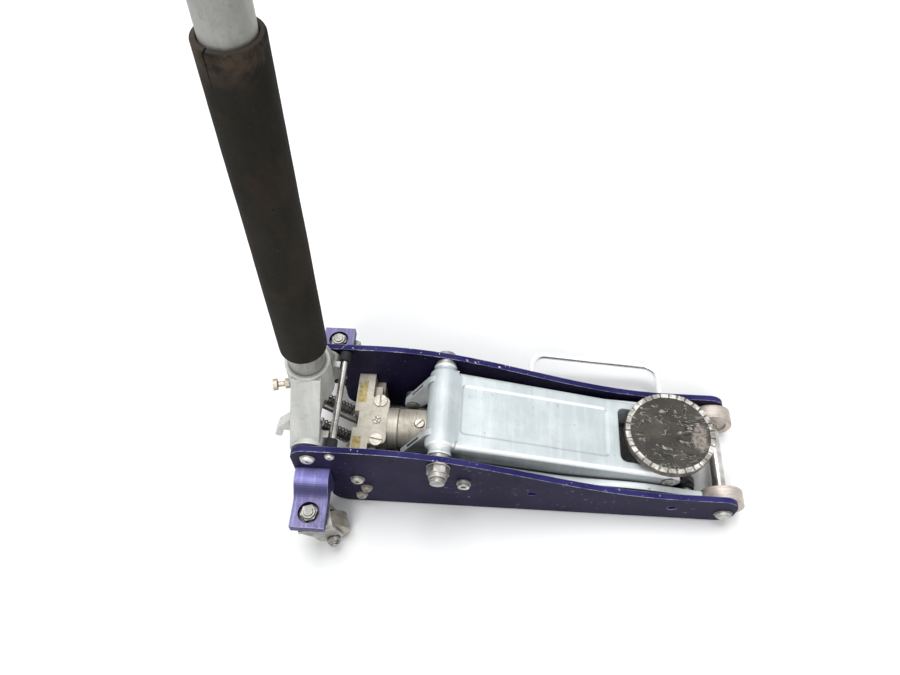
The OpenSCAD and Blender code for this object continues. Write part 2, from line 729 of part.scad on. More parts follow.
// Flat links beside the ram: a round eye on the arm's ear and a slot round the trunnion
module ram_links() color(steel_color) in_frame() both_sides() difference() {
    slot_low = ram_z - ear_rest[1];
    slot_high = ram_z - (pivot_z - ear_r);
    upright(ram_link_in, ram_link_out) {
        strap(ear_rest, 10, [cross_x, ear_rest[1]], 12);
        polygon(rounded([cross_x, ear_rest[1] + (slot_low + slot_high) / 2], cross_pin_r + 6,
            (slot_high - slot_low) / 2 + cross_pin_r + 6, 5));
    }
    bar_y(ear_rest[0], ear_rest[1], ear_pin_r + run_fit, ram_link_in - cut, ram_link_out + cut);
    for (z = [slot_low - 0.5, slot_high + 0.5])
        bar_y(cross_x, ear_rest[1] + z, cross_pin_r + slot_play, ram_link_in - cut, ram_link_out + cut);
    translate([cross_x - cross_pin_r - slot_play, ram_link_in - cut, ear_rest[1] + slot_low - 0.5])
        cube([2 * (cross_pin_r + slot_play), ram_link_t + 2 * cut, slot_high - slot_low + 1]);
}

// Two springs that pull the crosshead back towards the pump block
module return_springs() color(steel_color) in_frame() for (y = [-spring_y, spring_y])
    translate([lobe_x, y, spring_z])
        swept(coil(cross_x - tab_t / 2 - lobe_x, spring_r, 14, 8), spring_wire_r);

// ---- Lift arm ----

module in_arm() translate([pivot_x, 0, pivot_z]) rotate([0, arm_droop, 0]) children();

module arm_plan() polygon([[0, arm_rear_w / 2], [arm_length + tip_r + cut, arm_front_w / 2],
    [arm_length + tip_r + cut, -arm_front_w / 2], [0, -arm_rear_w / 2]]);

// Side view of the arm: deep in the middle, shallow at the fork
module arm_profile() polygon(concat([[0, arm_top], [arm_length - 8, arm_top]],
    arc([arm_length, 0], tip_r, 62, -90, 12),
    s_curve([arm_length - 30, arm_bottom], [arm_length * 0.5, arm_belly], 12),
    s_curve([arm_length * 0.38, arm_belly], [hub_r + 12, -hub_r], 8), [[0, -hub_r]]));

// Takes the arm's long top edges off to a radius
module arm_edge_cutter() both_sides() translate([0, arm_rear_w / 2, arm_top])
    rotate([0, 0, -atan((arm_rear_w - arm_front_w) / 2 / (arm_length + tip_r))])
    translate([hub_r - 3, 0, 0]) rotate([90, 0, 90]) linear_extrude(arm_length + hub_r) difference() {
        translate([-arm_edge_r, -arm_edge_r]) square(arm_edge_r + cut);
        translate([-arm_edge_r, -arm_edge_r]) circle(arm_edge_r);
    }

// Slot that leaves each ear as two thin webs between its bosses
module ear_slot() upright(ear_in + ear_web, ear_out - ear_web) rotate(arm_droop)
    rotate(-ear_angle) translate([hub_r + 2, -20]) square([ear_r - hub_r - 14, 40]);

// Half the arm's barrel seen in section: its rim, then a collar with a beaded end
function barrel_half() = concat(
    arc([hub_r - hub_rim_r, arm_rear_w / 2 - hub_rim_r], hub_rim_r, 0, 66, 5),
    arc([collar_r + 2, arm_rear_w / 2 + 2], 2, 260, 180, 4),
    arc([collar_r - 1, collar_end - 2], 2, -60, 90, 6), [[0, collar_end]]);

module arm_hub() rotate([90, 0, 0]) rotate_extrude()
    polygon([for (s = [1, -1], i = [1:len(barrel_half())])
        let (p = barrel_half()[s > 0 ? i - 1 : len(barrel_half()) - i]) [p[0], s * p[1]]]);

// Web that leaves the barrel at a tangent and meets the arm's top wall
module hub_web() intersection() {
    upright(-arm_rear_w / 2, arm_rear_w / 2)
        polygon([[web_start[0], -5], [web_start[0], hub_r], [panel_x0, hub_r], [panel_x0, -5]]);
    translate([web_start[0], 0, web_start[1]]) rotate([0, 90 - web_angle, 0]) rotate([90, 0, 90])
        linear_extrude(hub_r + panel_x0) polygon(rounded([0, -15], arm_rear_w / 2, 15, arm_edge_r));
}

// Shallow recess in the arm's top wall, with sloping sides
module panel_recess() intersection() {
    low = arm_top - panel_depth;
    linear_extrude(arm_top + cut) polygon(rounded([(panel_x0 + panel_x1) / 2, 0],
        (panel_x1 - panel_x0) / 2 + panel_slope, panel_hw + panel_slope, 7));
    upright(-panel_hw - panel_slope, panel_hw + panel_slope)
        polygon([[panel_x0, low], [panel_x1, low], [panel_x1 + 2 * panel_slope, low + 2 * panel_depth],
            [panel_x0 - 2 * panel_slope, low + 2 * panel_depth]]);
    rotate([90, 0, 90]) linear_extrude(arm_length) polygon([[-panel_hw, low], [panel_hw, low],
        [panel_hw + 2 * panel_slope, low + 2 * panel_depth],
        [-panel_hw - 2 * panel_slope, low + 2 * panel_depth]]);
}

module lift_arm() color(cast_color) in_frame() in_arm() difference() {
    union() {
        hub_web();
        arm_hub();
        intersection() {
            translate([0, 0, arm_belly - cut]) linear_extrude(arm_top - arm_belly + 2 * cut) arm_plan();
            upright(-arm_rear_w / 2, arm_rear_w / 2) arm_profile();
        }
        both_sides() upright(ear_in, ear_out) rotate(arm_droop)
            strap([-6, 0], 15, ear_at, 10);
    }
    arm_edge_cutter();
    both_sides() ear_slot();
    panel_recess();
    difference() {
        translate([hollow_x0, -arm_front_w / 2 + arm_wall, arm_belly - 2 * cut])
            cube([hollow_x1 - hollow_x0, arm_front_w - 2 * arm_wall, hollow_top - arm_belly + 2 * cut]);
        for (x = [hollow_x0 + 55, hollow_x0 + 115]) translate([x, -arm_rear_w / 2, -4])
            cube([5, arm_rear_w, arm_top]);
    }
    translate([fork_start, 0, arm_belly]) linear_extrude(arm_top - arm_belly + cut)
        polygon(concat([[arm_length + 2 * tip_r, fork_gap / 2]], arc([8, fork_gap / 2 - 8], 8, 90, 180),
            arc([8, 8 - fork_gap / 2], 8, 180, 270), [[arm_length + 2 * tip_r, -fork_gap / 2]]));
    bar_y(0, 0, pivot_r + 0.5, -collar_end - cut, collar_end + cut);
    both_sides() bar_y(0, 0, bush_r + seat_fit, collar_end - bush_l, collar_end + cut);
    both_sides() bar_y(arm_length, 0, fork_pin_r + seat_fit, fork_gap / 2 - cut, arm_rear_w / 2);
    rotate([0, -arm_droop, 0]) both_sides()
        bar_y(ear_at[0], ear_at[1], ear_pin_r + seat_fit, ear_in - cut, ear_out + cut);
}

module arm_bushes() color([0.72, 0.55, 0.28]) in_frame() both_sides() difference() {
    bar_y(pivot_x, pivot_z, bush_r, collar_end - bush_l, collar_end);
    bar_y(pivot_x, pivot_z, pivot_r + run_fit, collar_end - bush_l - cut, collar_end + cut);
}

// Stub pins that join the arm's fork to the saddle bracket
module fork_pins() color(zinc_color) in_frame() both_sides() {
    bar_y(fork_pin_x, fork_pin_z, fork_pin_r, fork_gap / 2 - 12, arm_front_w / 2 + 1.5);
    difference() {
        bar_y(fork_pin_x, fork_pin_z, fork_pin_r + 1.4, arm_front_w / 2 + 0.5, arm_front_w / 2 + 2.4);
        bar_y(fork_pin_x, fork_pin_z, fork_pin_r - 1.5, arm_front_w / 2 + 1.5, arm_front_w / 2 + 4);
    }
}

module ear_pins() color(steel_color) in_frame() both_sides() {
    bar_y(ear_rest[0], ear_rest[1], ear_pin_r, ear_in - 2, ram_link_out + 2);
    bar_y(ear_rest[0], ear_rest[1], ear_pin_r + 2, ear_in - 2, ear_in);
    bar_y(ear_rest[0], ear_rest[1], ear_pin_r + 2, ram_link_out + free_gap, ram_link_out + 2);
}

// A link bar along X: round at the rear, deeper and square towards the saddle
module link_outline() polygon(concat(
    arc([0, 0], link_h / 2, 90, 270, 16), arc([arm_length, 0], link_h / 2, 270, 360, 8),
    [[arm_length + link_h / 2, link_rise - 3], [arm_length + link_h / 2 - 3, link_rise]],
    s_curve([arm_length - 40, link_rise], [arm_length * 0.35, link_h / 2], 14)));

module parallel_link(s) color(cast_color) on_side(s) difference() {
    upright(link_in, link_out) translate([link_rear_x, link_rear_z]) rotate(-arm_droop) link_outline();
    bar_y(link_rear_x, link_rear_z, link_pin_r + run_fit, link_in - cut, link_out + cut);
    bar_y(link_front_x, link_front_z, link_pin_r + run_fit, link_in - cut, link_out + cut);
}

module link_near() in_frame() parallel_link(-1);
module link_far() in_frame() parallel_link(1);

// ---- Saddle ----

// Plan of the nose: wide behind, narrowing to a blunt front
module bracket_nose() polygon([for (s = [1, -1], p = s > 0 ? nose_points : nose_reversed) [p[0], s * p[1]]]);

module saddle_bracket() color([0.45, 0.45, 0.45]) in_frame() difference() {
    union() {
        translate([fork_pin_x - 20, -cheek_plate_out, fork_pin_z - 14])
            cube([40, 2 * cheek_plate_out, bracket_top - fork_pin_z + 14]);
        bar_y(fork_pin_x, fork_pin_z, tip_r, -cheek_plate_out, cheek_plate_out);
        both_sides() upright(cheek_plate_out - 9, cheek_plate_out)
            strap([fork_pin_x, fork_pin_z], tip_r, [link_front_x, link_front_z], 12);
        both_sides() bar_y(link_front_x, link_front_z, 11, cheek_plate_out - 9, cheek_plate_out + 4);
        translate([fork_pin_x, 0, fork_pin_z - 16])
            linear_extrude(bracket_top - fork_pin_z + 12) bracket_nose();
    }
    translate([saddle_x, 0, fork_pin_z - 30]) cylinder(h = 80, r = post_r + run_fit);
    both_sides() bar_y(fork_pin_x, fork_pin_z, fork_pin_r + run_fit, fork_gap / 2 - 12.5, half_in);
    both_sides() bar_y(link_front_x, link_front_z, link_pin_r + seat_fit, cheek_plate_out - 10, half_in);
}

// Pins that join the saddle bracket to the parallel links
module link_pins() color(zinc_color) in_frame() both_sides() {
    bar_y(link_front_x, link_front_z, link_pin_r, cheek_plate_out - 9, link_out + 2.2);
    bar_y(link_front_x, link_front_z, link_pin_r + 2.5, cheek_plate_out + 4, link_in - free_gap);
    bar_y(link_front_x, link_front_z, link_pin_r + 2.5, link_out + free_gap, link_out + 2.2);
}

module saddle_cup() color(zinc_color) in_frame() translate([saddle_x, 0, 0]) difference() {
    union() {
        translate([0, 0, cup_bottom]) cylinder(h = cup_t, r = saddle_r, $fn = 96);
        translate([0, 0, bracket_top]) cylinder(h = cup_bottom - bracket_top + 0.01, r = boss_r);
        translate([0, 0, fork_pin_z - 12]) cylinder(h = bracket_top - fork_pin_z + 12.01, r = post_r);
    }
    translate([0, 0, saddle_z - pad_t]) cylinder(h = pad_t + cut, r = saddle_r - rim_w, $fn = 96);
    for (i = [0:rim_teeth - 1]) rotate(360 * i / rim_teeth) translate([saddle_r, 0, cup_bottom + cup_t])
        rotate([0, 0, 45]) cube([1.6, 1.6, 3], center = true);
}

module saddle_pad() color([0.30, 0.27, 0.25]) in_frame()
    translate([saddle_x, 0, saddle_z - pad_t]) cylinder(h = pad_t, r = saddle_r - rim_w - 0.5, $fn = 96);

// ---- Handle socket ----

module in_socket() translate([socket_x, 0, socket_z]) rotate([0, handle_lean, 0]) children();

// Front view of the socket: two splayed legs under a round collar
module socket_front() polygon([[leg_out, -6], [leg_out, 8], [rim_hw, socket_h - 4], [-rim_hw, socket_h - 4],
    [-leg_out, 8], [-leg_out, -6]]);

// Side view of the socket: its faces lean forward as they rise
module socket_side() polygon([[face_low[0], -6], [face_low[0], 6], [face_high[0], socket_h - 4],
    [face_high[1], socket_h - 4], [face_low[1], 6], [face_low[1], -6]]);

// Hooked lug behind each leg
module socket_lug() polygon(concat([[face_low[0] + 6, lug_top], lug_knee],
    arc([-lug_reach, lug_z], lug_r, 160, 330, 10), [lug_inner, [face_low[0] + 6, lug_root]]));

module handle_socket() color(cast_color) in_frame() in_socket() difference() {
    union() {
        translate([0, 0, collar_bottom]) cylinder(h = socket_h - collar_bottom, d = collar_d);
        intersection() {
            translate([-collar_d, 0, 0]) rotate([90, 0, 90]) linear_extrude(2 * collar_d) socket_front();
            upright(-leg_out, leg_out) socket_side();
        }
        both_sides() bar_y(0, 0, boss_round_r, boss_in, leg_out);
        both_sides() translate([face_low[1] - cut, boss_in, 4]) cube([stop_reach - face_low[1] + cut, 8, 10]);
        both_sides() upright(boss_in - 8, boss_in + 3) socket_lug();
    }
    upright(-boss_in, boss_in) polygon([[-60, -60], [-60, 3], [face_low[0] + 5, 3], [face_low[0] + 5, arch_top],
        [60, arch_top], [60, -60]]);
    both_sides() upright(0, boss_in - 8) polygon([[-60, -60], [-60, arch_top], [0, arch_top], [0, -60]]);
    translate([0, 0, arch_top - 10]) cylinder(h = socket_h, r = tube_r + 0.08);
    both_sides() bar_y(0, 0, socket_pin_r + run_fit, boss_in - cut, leg_out + cut);
    rotate([0, -handle_lean, 0]) both_sides() bar_y(roller_at[0], roller_at[1],
        roller_shaft_r + seat_fit, boss_in - cut, boss_in + 5.5);
    translate([0, 0, retain_z]) rotate([0, -90, retain_turn]) cylinder(h = collar_d, r = 3 + seat_fit);
}

// Screw whose point runs in a groove round the tube and keeps the handle in
module retaining_bolt() color(zinc_color) in_frame() in_socket()
    translate([0, 0, retain_z]) rotate([0, -90, retain_turn]) {
    translate([0, 0, tube_r - 1]) cylinder(h = retain_head - tube_r + 2, r = 3);
    translate([0, 0, collar_d / 2 + 0.2]) cylinder(h = 5, r = 5.6, $fn = 6);
    translate([0, 0, retain_head]) cylinder(h = 4.5, r = 6.4);
}

module roller_shaft() color(steel_color) in_frame() translate([socket_x, 0, socket_z])
    bar_y(roller_at[0], roller_at[1], roller_shaft_r, -boss_in - 5, boss_in + 5);

module pump_rollers() color(steel_color) in_frame() translate([socket_x, 0, socket_z]) both_sides() difference() {
    bar_y(roller_at[0], roller_at[1], roller_r, pump_y - 5, pump_y + 5);
    bar_y(roller_at[0], roller_at[1], roller_shaft_r + run_fit, pump_y - 6, pump_y + 6);
}

// ---- Handle ----

module tube(z0, z1, r, wall) translate([0, 0, z0]) difference() {
    cylinder(h = z1 - z0, r = r);
    translate([0, 0, -cut]) cylinder(h = z1 - z0 + 2 * cut, r = r - wall);
}

module lower_tube() color(steel_color) in_frame() in_socket() difference() {
    tube(tube_bottom, lower_tube_top, tube_r, tube_wall);
    translate([0, 0, retain_z - 3.4]) difference() {
        cylinder(h = 6.8, r = tube_r + 2);
        translate([0, 0, -cut]) cylinder(h = 9, r = tube_r - 1.4);
    }
    translate([0, 0, button_z]) rotate([90, 0, 0]) cylinder(h = tube_d, r = button_r + run_fit);
}

module foam_sleeve() color(foam_color) in_frame() in_socket()
    tube(foam_bottom, foam_top, foam_d / 2, foam_d / 2 - tube_r - seat_fit);

module upper_tube() color(steel_color) in_frame() in_socket() difference() {
    tube(upper_bottom, upper_tube_top, upper_r, tube_wall * 0.8);
    translate([0, 0, button_z]) rotate([90, 0, 0]) cylinder(h = tube_d, r = button_r + run_fit);
}

module end_cap() color(dark_color) in_frame() in_socket() difference() {
    translate([0, 0, upper_tube_top - 24]) cylinder(h = 27, r = upper_r + 2);
    translate([0, 0, upper_tube_top - 25]) cylinder(h = 25, r = upper_r + seat_fit);
}

// Button on a leaf spring inside the upper tube, standing through both tubes
module snap_button() color(steel_color) in_frame() in_socket() translate([0, 0, button_z]) {
    rotate([90, 0, 0]) translate([0, 0, upper_r - 8]) cylinder(h = tube_r - upper_r + 11, r = button_r);
    rotate([90, 0, 0]) translate([0, 0, upper_r - 8]) cylinder(h = 2, r = button_r + 2.5);
}

// Plug in the bottom of the tube whose cup turns the release shaft's ball
module release_cup() color(steel_color) in_frame() in_socket() difference() {
    union() {
        translate([0, 0, tube_bottom]) cylinder(h = 14, r = tube_r - tube_wall - seat_fit);
        translate([0, 0, 13]) cylinder(h = tube_bottom - 12, r = 6);
        translate([0, 0, 1.5]) cylinder(h = 12.5, r = 9.5);
    }
    sphere(r = ball_r + free_gap);
    translate([0, 0, -1]) cylinder(h = 3, r = ball_r + free_gap);
}

module release_shaft() color(steel_color) in_frame() {
    translate([socket_x, 0, socket_z]) sphere(r = ball_r);
    pump_bar(0, 0, shaft_r, 0, shaft_end_s);
}

// Twin plungers: a cap under each roller, a collar for the spring and a long rod
module pump_plungers() color(steel_color) in_frame() both_sides() {
    pump_bar(pump_y, pump_offset, plunger_r, cap_s, barrel_s + 16);
    pump_bar(pump_y, pump_offset, cap_r, cap_s, cap_s + cap_t);
    pump_bar(pump_y, pump_offset, pump_spring_r + 1.2, spring_seat_s - 2.4, spring_seat_s);
}

module plunger_springs() color(steel_color) in_frame() for (y = [-pump_y, pump_y])
    translate([socket_x, y, socket_z]) rotate([0, 90 + pump_angle, 0])
        translate([pump_offset, 0, spring_seat_s + pump_wire_r]) rotate([0, -90, 0])
            swept(coil(barrel_s - spring_seat_s - 2 * pump_wire_r, pump_spring_r, 8, 0), pump_wire_r);

// ---- Carry handle ----

module in_carry() translate([carry_x, half_out, carry_z]) rotate([0, carry_slope, 0]) children();

module carry_leg(x) difference() {
    union() {
        translate([x, 0, 0]) rotate([-90, 0, 0]) cylinder(h = carry_reach - carry_bend, r = carry_r);
        translate([x, 0, 0]) rotate([-90, 0, 0]) cylinder(h = 2.5, r = carry_r + 3.5);
    }
    translate([x, -cut, 0]) rotate([-90, 0, 0]) cylinder(h = 13.5, r = 2.5 + seat_fit);
}

module carry_corner(x, turn) translate([x, carry_reach - carry_bend, 0]) rotate([0, 0, turn])
    rotate_extrude(angle = 90) translate([carry_bend, 0]) circle(carry_r, $fn = 24);

module carry_handle() color([0.85, 0.85, 0.85]) in_frame() in_carry() {
    carry_leg(0);
    carry_leg(carry_l);
    carry_corner(carry_bend, 90);
    carry_corner(carry_l - carry_bend, 0);
    translate([carry_bend, carry_reach, 0]) rotate([0, 90, 0])
        cylinder(h = carry_l - 2 * carry_bend, r = carry_r);
}

// Screws from inside the far plate into the handle's feet
module carry_handle_screws() color(zinc_color) in_frame() for (f = [0, 1])
    translate([carry_x + f * carry_span, half_in, carry_z - f * carry_drop]) rotate([-90, 0, 0]) {
        cylinder(h = plate_t + 12, r = 2.5);
        translate([0, 0, -2]) cylinder(h = 2, r = 7.5);
        cylinder(h = plate_t - 0.5, r = carry_hole_d / 2 - bolt_fit);
    }

// ---- Wheels ----

module front_wheel(s) color([0.45, 0.42, 0.40]) on_side(s) difference() {
    bar_y(axle_x, axle_height, front_wheel_d / 2, wheel_in, wheel_in + front_wheel_w);
    bar_y(axle_x, axle_height, axle_r + run_fit, wheel_in - cut, wheel_in + front_wheel_w + cut);
    for (y = [wheel_in, wheel_in + front_wheel_w])
        bar_y(axle_x, axle_height, 0.36 * front_wheel_d, y - 3, y + 3);
}

module wheel_hub(s) color([0.45, 0.42, 0.40]) on_side(s) difference() {
    bar_y(axle_x, axle_height, axle_r + 3, wheel_in, wheel_in + front_wheel_w);
    bar_y(axle_x, axle_height, axle_r + run_fit, wheel_in - cut, wheel_in + front_wheel_w + cut);
}

module front_wheel_near() in_frame() { front_wheel(-1); wheel_hub(-1); }
module front_wheel_far() in_frame() { front_wheel(1); wheel_hub(1); }

// A caster is drawn round its own swivel axis, trailing along X
module at_caster(s) on_side(s) translate([swivel_x, swivel_y, 0]) rotate([0, 0, -caster_swing]) children();

module cheek_shape() {
    strap([caster_trail, caster_axle_z], cheek_r, [4, fork_top - fork_plate_t - 6], 12);
    polygon([[-14, fork_top], [20, fork_top], [caster_trail + cheek_r, caster_axle_z],
        [caster_trail - cheek_r, caster_axle_z], [-14, fork_top - fork_plate_t]]);
}

module caster_fork(s) color([0.70, 0.69, 0.66]) at_caster(s) {
    difference() {
        union() {
            translate([-16, -cheek_out, fork_top - fork_plate_t]) cube([38, 2 * cheek_out, fork_plate_t]);
            both_sides() upright(cheek_in, cheek_out) cheek_shape();
        }
        translate([0, 0, fork_top - 10]) cylinder(h = 20, r = stem_r - 1);
        both_sides()
            bar_y(caster_trail, caster_axle_z, caster_axle_r + seat_fit, cheek_in - cut, cheek_out + cut);
    }
    translate([0, 0, fork_top - fork_plate_t]) cylinder(h = stem_seat_z + stem_washer_t + stem_nut_t + 1.5
        - fork_top + fork_plate_t, r = stem_r);
    translate([0, 0, fork_top]) cylinder(h = caster_bearing_t - free_gap, r = stem_r + 7);
    translate([0, 0, stem_seat_z + 0.2]) cylinder(h = stem_washer_t, r = stem_nut_af * 0.62);
    translate([0, 0, stem_seat_z + stem_washer_t]) {
        cylinder(h = stem_nut_t * 0.7, d = stem_nut_af / cos(30), $fn = 6);
        cylinder(h = stem_nut_t, r = stem_nut_af * 0.44);
    }
}

module caster_fork_near() in_frame() caster_fork(-1);
module caster_fork_far() in_frame() caster_fork(1);

module caster_wheel(s) color(dark_color) at_caster(s) difference() {
    union() {
        bar_y(caster_trail, caster_axle_z, caster_wheel_d / 2, -caster_wheel_w / 2, caster_wheel_w / 2);
        bar_y(caster_trail, caster_axle_z, caster_axle_r + 4, -cheek_in + free_gap, cheek_in - free_gap);
    }
    bar_y(caster_trail, caster_axle_z, caster_axle_r + run_fit, -caster_wheel_w, caster_wheel_w);
}

module caster_wheel_near() in_frame() caster_wheel(-1);
module caster_wheel_far() in_frame() caster_wheel(1);

// Axle bolt with its head inboard and a locking nut outboard
module caster_axle(s) color(zinc_color) at_caster(s) {
    bar_y(caster_trail, caster_axle_z, caster_axle_r, -cheek_out, cheek_out + caster_nut_t + 2);
    hex_y(caster_trail, caster_axle_z, caster_nut_af, -cheek_out - 5, -cheek_out);
    hex_y(caster_trail, caster_axle_z, caster_nut_af, cheek_out, cheek_out + caster_nut_t * 0.75);
    bar_y(caster_trail, caster_axle_z, caster_nut_af * 0.44, cheek_out, cheek_out + caster_nut_t);
}

module caster_axle_near() in_frame() caster_axle(-1);
module caster_axle_far() in_frame() caster_axle(1);

side_plate_near();
side_plate_far();
caster_bracket_near();
caster_bracket_far();
bracket_screws();
tie_rod();
tie_rod_sleeves();
tie_rod_screws();
power_unit_screws();
arm_pivot_bolt();
arm_pivot_nut();
pivot_washers();
link_pivot_bolts();
front_axle();
front_axle_nuts();
axle_spacer();
pump_block();
block_plugs();
reservoir();
ram_cylinder();
reservoir_head();
filler_plug();
socket_screws();
carry_handle();
carry_handle_screws();
lift_arm();
arm_bushes();
fork_pins();
ear_pins();
ram();
crosshead();
ram_links();
return_springs();
link_near();
link_far();
saddle_bracket();
link_pins();
saddle_cup();
saddle_pad();
handle_socket();
retaining_bolt();
roller_shaft();
pump_rollers();
lower_tube();
foam_sleeve();
upper_tube();
end_cap();
snap_button();
release_cup();
release_shaft();
pump_plungers();
plunger_springs();
front_wheel_near();
front_wheel_far();
caster_fork_near();
caster_fork_far();
caster_wheel_near();
caster_wheel_far();
caster_axle_near();
caster_axle_far();
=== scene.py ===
"""Looks of the low-profile trolley jack: camera, light, finishes and the fine detail of its parts."""
import math

import bmesh
import bpy
from mathutils import Matrix, Vector, noise


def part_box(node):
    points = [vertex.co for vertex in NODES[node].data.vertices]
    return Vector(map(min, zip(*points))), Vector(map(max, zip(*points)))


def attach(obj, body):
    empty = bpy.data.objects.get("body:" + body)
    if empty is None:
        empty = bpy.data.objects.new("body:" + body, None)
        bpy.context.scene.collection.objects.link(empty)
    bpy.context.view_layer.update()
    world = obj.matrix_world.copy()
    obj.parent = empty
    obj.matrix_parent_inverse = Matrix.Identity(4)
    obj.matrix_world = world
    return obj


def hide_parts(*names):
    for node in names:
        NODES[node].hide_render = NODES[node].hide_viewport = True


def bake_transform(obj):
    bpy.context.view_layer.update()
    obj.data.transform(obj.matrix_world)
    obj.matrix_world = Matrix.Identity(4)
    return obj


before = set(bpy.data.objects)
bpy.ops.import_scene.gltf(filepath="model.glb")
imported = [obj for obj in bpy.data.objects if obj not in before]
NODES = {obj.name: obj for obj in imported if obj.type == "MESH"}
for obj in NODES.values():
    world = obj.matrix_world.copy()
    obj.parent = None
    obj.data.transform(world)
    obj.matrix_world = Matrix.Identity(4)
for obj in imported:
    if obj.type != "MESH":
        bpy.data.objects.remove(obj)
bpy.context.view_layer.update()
MM = 0.001
ALONG_X = 0
ALONG_Y = 1
TOUCHING = 0.001 * MM
NO_RUST = -1.0
PLATE_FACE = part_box("side_plate_far")[1].y


# ---- Node trees ----

class Value:
    """A number, colour or shape inside a node tree, so that its maths reads as plain expressions."""

    def __init__(self, nodes, socket):
        self.nodes = nodes
        self.socket = socket

    def maths(self, operation, first, second):
        return self.nodes.add("ShaderNodeMath", {"operation": operation}, {0: first, 1: second})

    def __add__(self, other):
        return self.maths("ADD", self, other)

    def __radd__(self, other):
        return self.maths("ADD", other, self)

    def __sub__(self, other):
        return self.maths("SUBTRACT", self, other)

    def __rsub__(self, other):
        return self.maths("SUBTRACT", other, self)

    def __mul__(self, other):
        return self.maths("MULTIPLY", self, other)

    def __rmul__(self, other):
        return self.maths("MULTIPLY", other, self)

    def __rtruediv__(self, other):
        return self.maths("DIVIDE", other, self)

    def __and__(self, other):
        return self.maths("MINIMUM", self, other)

    def __or__(self, other):
        return self.maths("MAXIMUM", self, other)

    def between(self, low, high):
        """0 below low, 1 above high, smooth from one to the other."""
        return self.nodes.add("ShaderNodeMapRange", {"interpolation_type": "SMOOTHSTEP"},
                              {0: self, 1: low, 2: high, 3: 0.0, 4: 1.0})


class Nodes:
    """A node tree under construction."""

    def __init__(self, tree):
        self.tree = tree
        self.tree.nodes.clear()

    def add(self, kind, settings=None, inputs=None, out=0):
        """Adds a node with its settings, then its inputs' values or links, and gives one of its outputs."""
        node = self.tree.nodes.new(kind)
        for key, setting in (settings or {}).items():
            setattr(node, key, setting)
        for key, given in (inputs or {}).items():
            if isinstance(given, Value):
                self.tree.links.new(given.socket, node.inputs[key])
            else:
                node.inputs[key].default_value = given
        return Value(self, node.outputs[out]) if node.outputs else None


class Finish(Nodes):
    """A material under construction, in the object's own coordinates: a ground coat, then layers on it."""

    def __init__(self, name):
        self.material = bpy.data.materials.new(name)
        self.material.use_nodes = True
        super().__init__(self.material.node_tree)
        self.place = self.add("ShaderNodeTexCoord", out="Object")
        self.facing = self.add("ShaderNodeNewGeometry", out="Normal")
        self.colour = None

    def parts(self, vector):
        """The three numbers of a vector."""
        node = self.add("ShaderNodeSeparateXYZ", inputs={0: vector}).socket.node
        return [Value(self, output) for output in node.outputs]

    def height(self):
        """Height above the floor at rest."""
        return self.parts(self.place)[2]

    def upward(self, low, high):
        """0 on faces that point up less than low, 1 on those that point up more than high."""
        return self.parts(self.facing)[2].between(low, high)

    def mapped(self, scale=(1, 1, 1), turn=(0, 0, 0), shift=(0, 0, 0)):
        return self.add("ShaderNodeMapping", inputs={"Vector": self.place, "Location": shift,
                                                     "Rotation": turn, "Scale": scale})

    def noise(self, scale, detail=3, rough=0.5, at=None, twist=0.0):
        """Cloudy values round 0.5; the scale is how many clouds lie in a metre."""
        return self.add("ShaderNodeTexNoise", inputs={"Vector": at or self.place, "Scale": scale,
                        "Detail": detail, "Roughness": rough, "Distortion": twist})

    def streaks(self, scale, detail, rough, turn=(0, 0, 0), twist=0.0):
        """Noise with a scale of its own along each axis, drawn out where that is small."""
        return self.noise(1, detail, rough, at=self.mapped(scale, turn), twist=twist)

    def fold(self, value, middle):
        """How far a value lies from a middle, so that a line runs where it is small."""
        return self.add("ShaderNodeMath", {"operation": "ABSOLUTE"}, {0: value - middle})

    def mix(self, share, first, second):
        return self.add("ShaderNodeMix", {"data_type": "RGBA"}, {0: share, 6: first, 7: second}, out=2)

    def ground(self, share, first, second):
        """The ground coat, from its first colour to its second."""
        self.colour = self.mix(share, first, second)

    def lay(self, share, colour):
        """Lays a colour over the coats so far, as far as share says."""
        self.colour = self.mix(share, self.colour, colour)

    def rounded(self, radius):
        """The surface's normal with every edge eased to a radius."""
        return self.add("ShaderNodeBevel", {"samples": 6}, {"Radius": radius})

    def edges(self, radius):
        """0 on open faces, rising to about 1 along edges."""
        along = self.add("ShaderNodeVectorMath", {"operation": "DOT_PRODUCT"},
                         {0: self.rounded(radius), 1: self.facing}, out="Value")
        return ((1 - along) * 4.0).between(0.05, 1.0)

    def corners(self, reach, own=False):
        """0 on open faces, 1 where faces within reach shut them in; own counts only the piece's faces."""
        return 1 - self.add("ShaderNodeAmbientOcclusion", {"samples": 8, "only_local": own},
                            {"Distance": reach}, out="AO")

    def surface(self, rough, metal, height, depth, ease, **constants):
        """Closes the material: height is in units of depth, ease rounds the edges in the shading."""
        normal = self.add("ShaderNodeBump", inputs={"Height": height, "Distance": depth, "Strength": 1.0,
                                                    "Normal": self.rounded(ease)})
        sockets = {"Base Color": self.colour, "Roughness": rough, "Metallic": metal, "Normal": normal}
        return self.close(self.add("ShaderNodeBsdfPrincipled", inputs={**sockets, **constants}))

    def close(self, shader):
        self.add("ShaderNodeOutputMaterial", inputs={"Surface": shader})
        return self.material


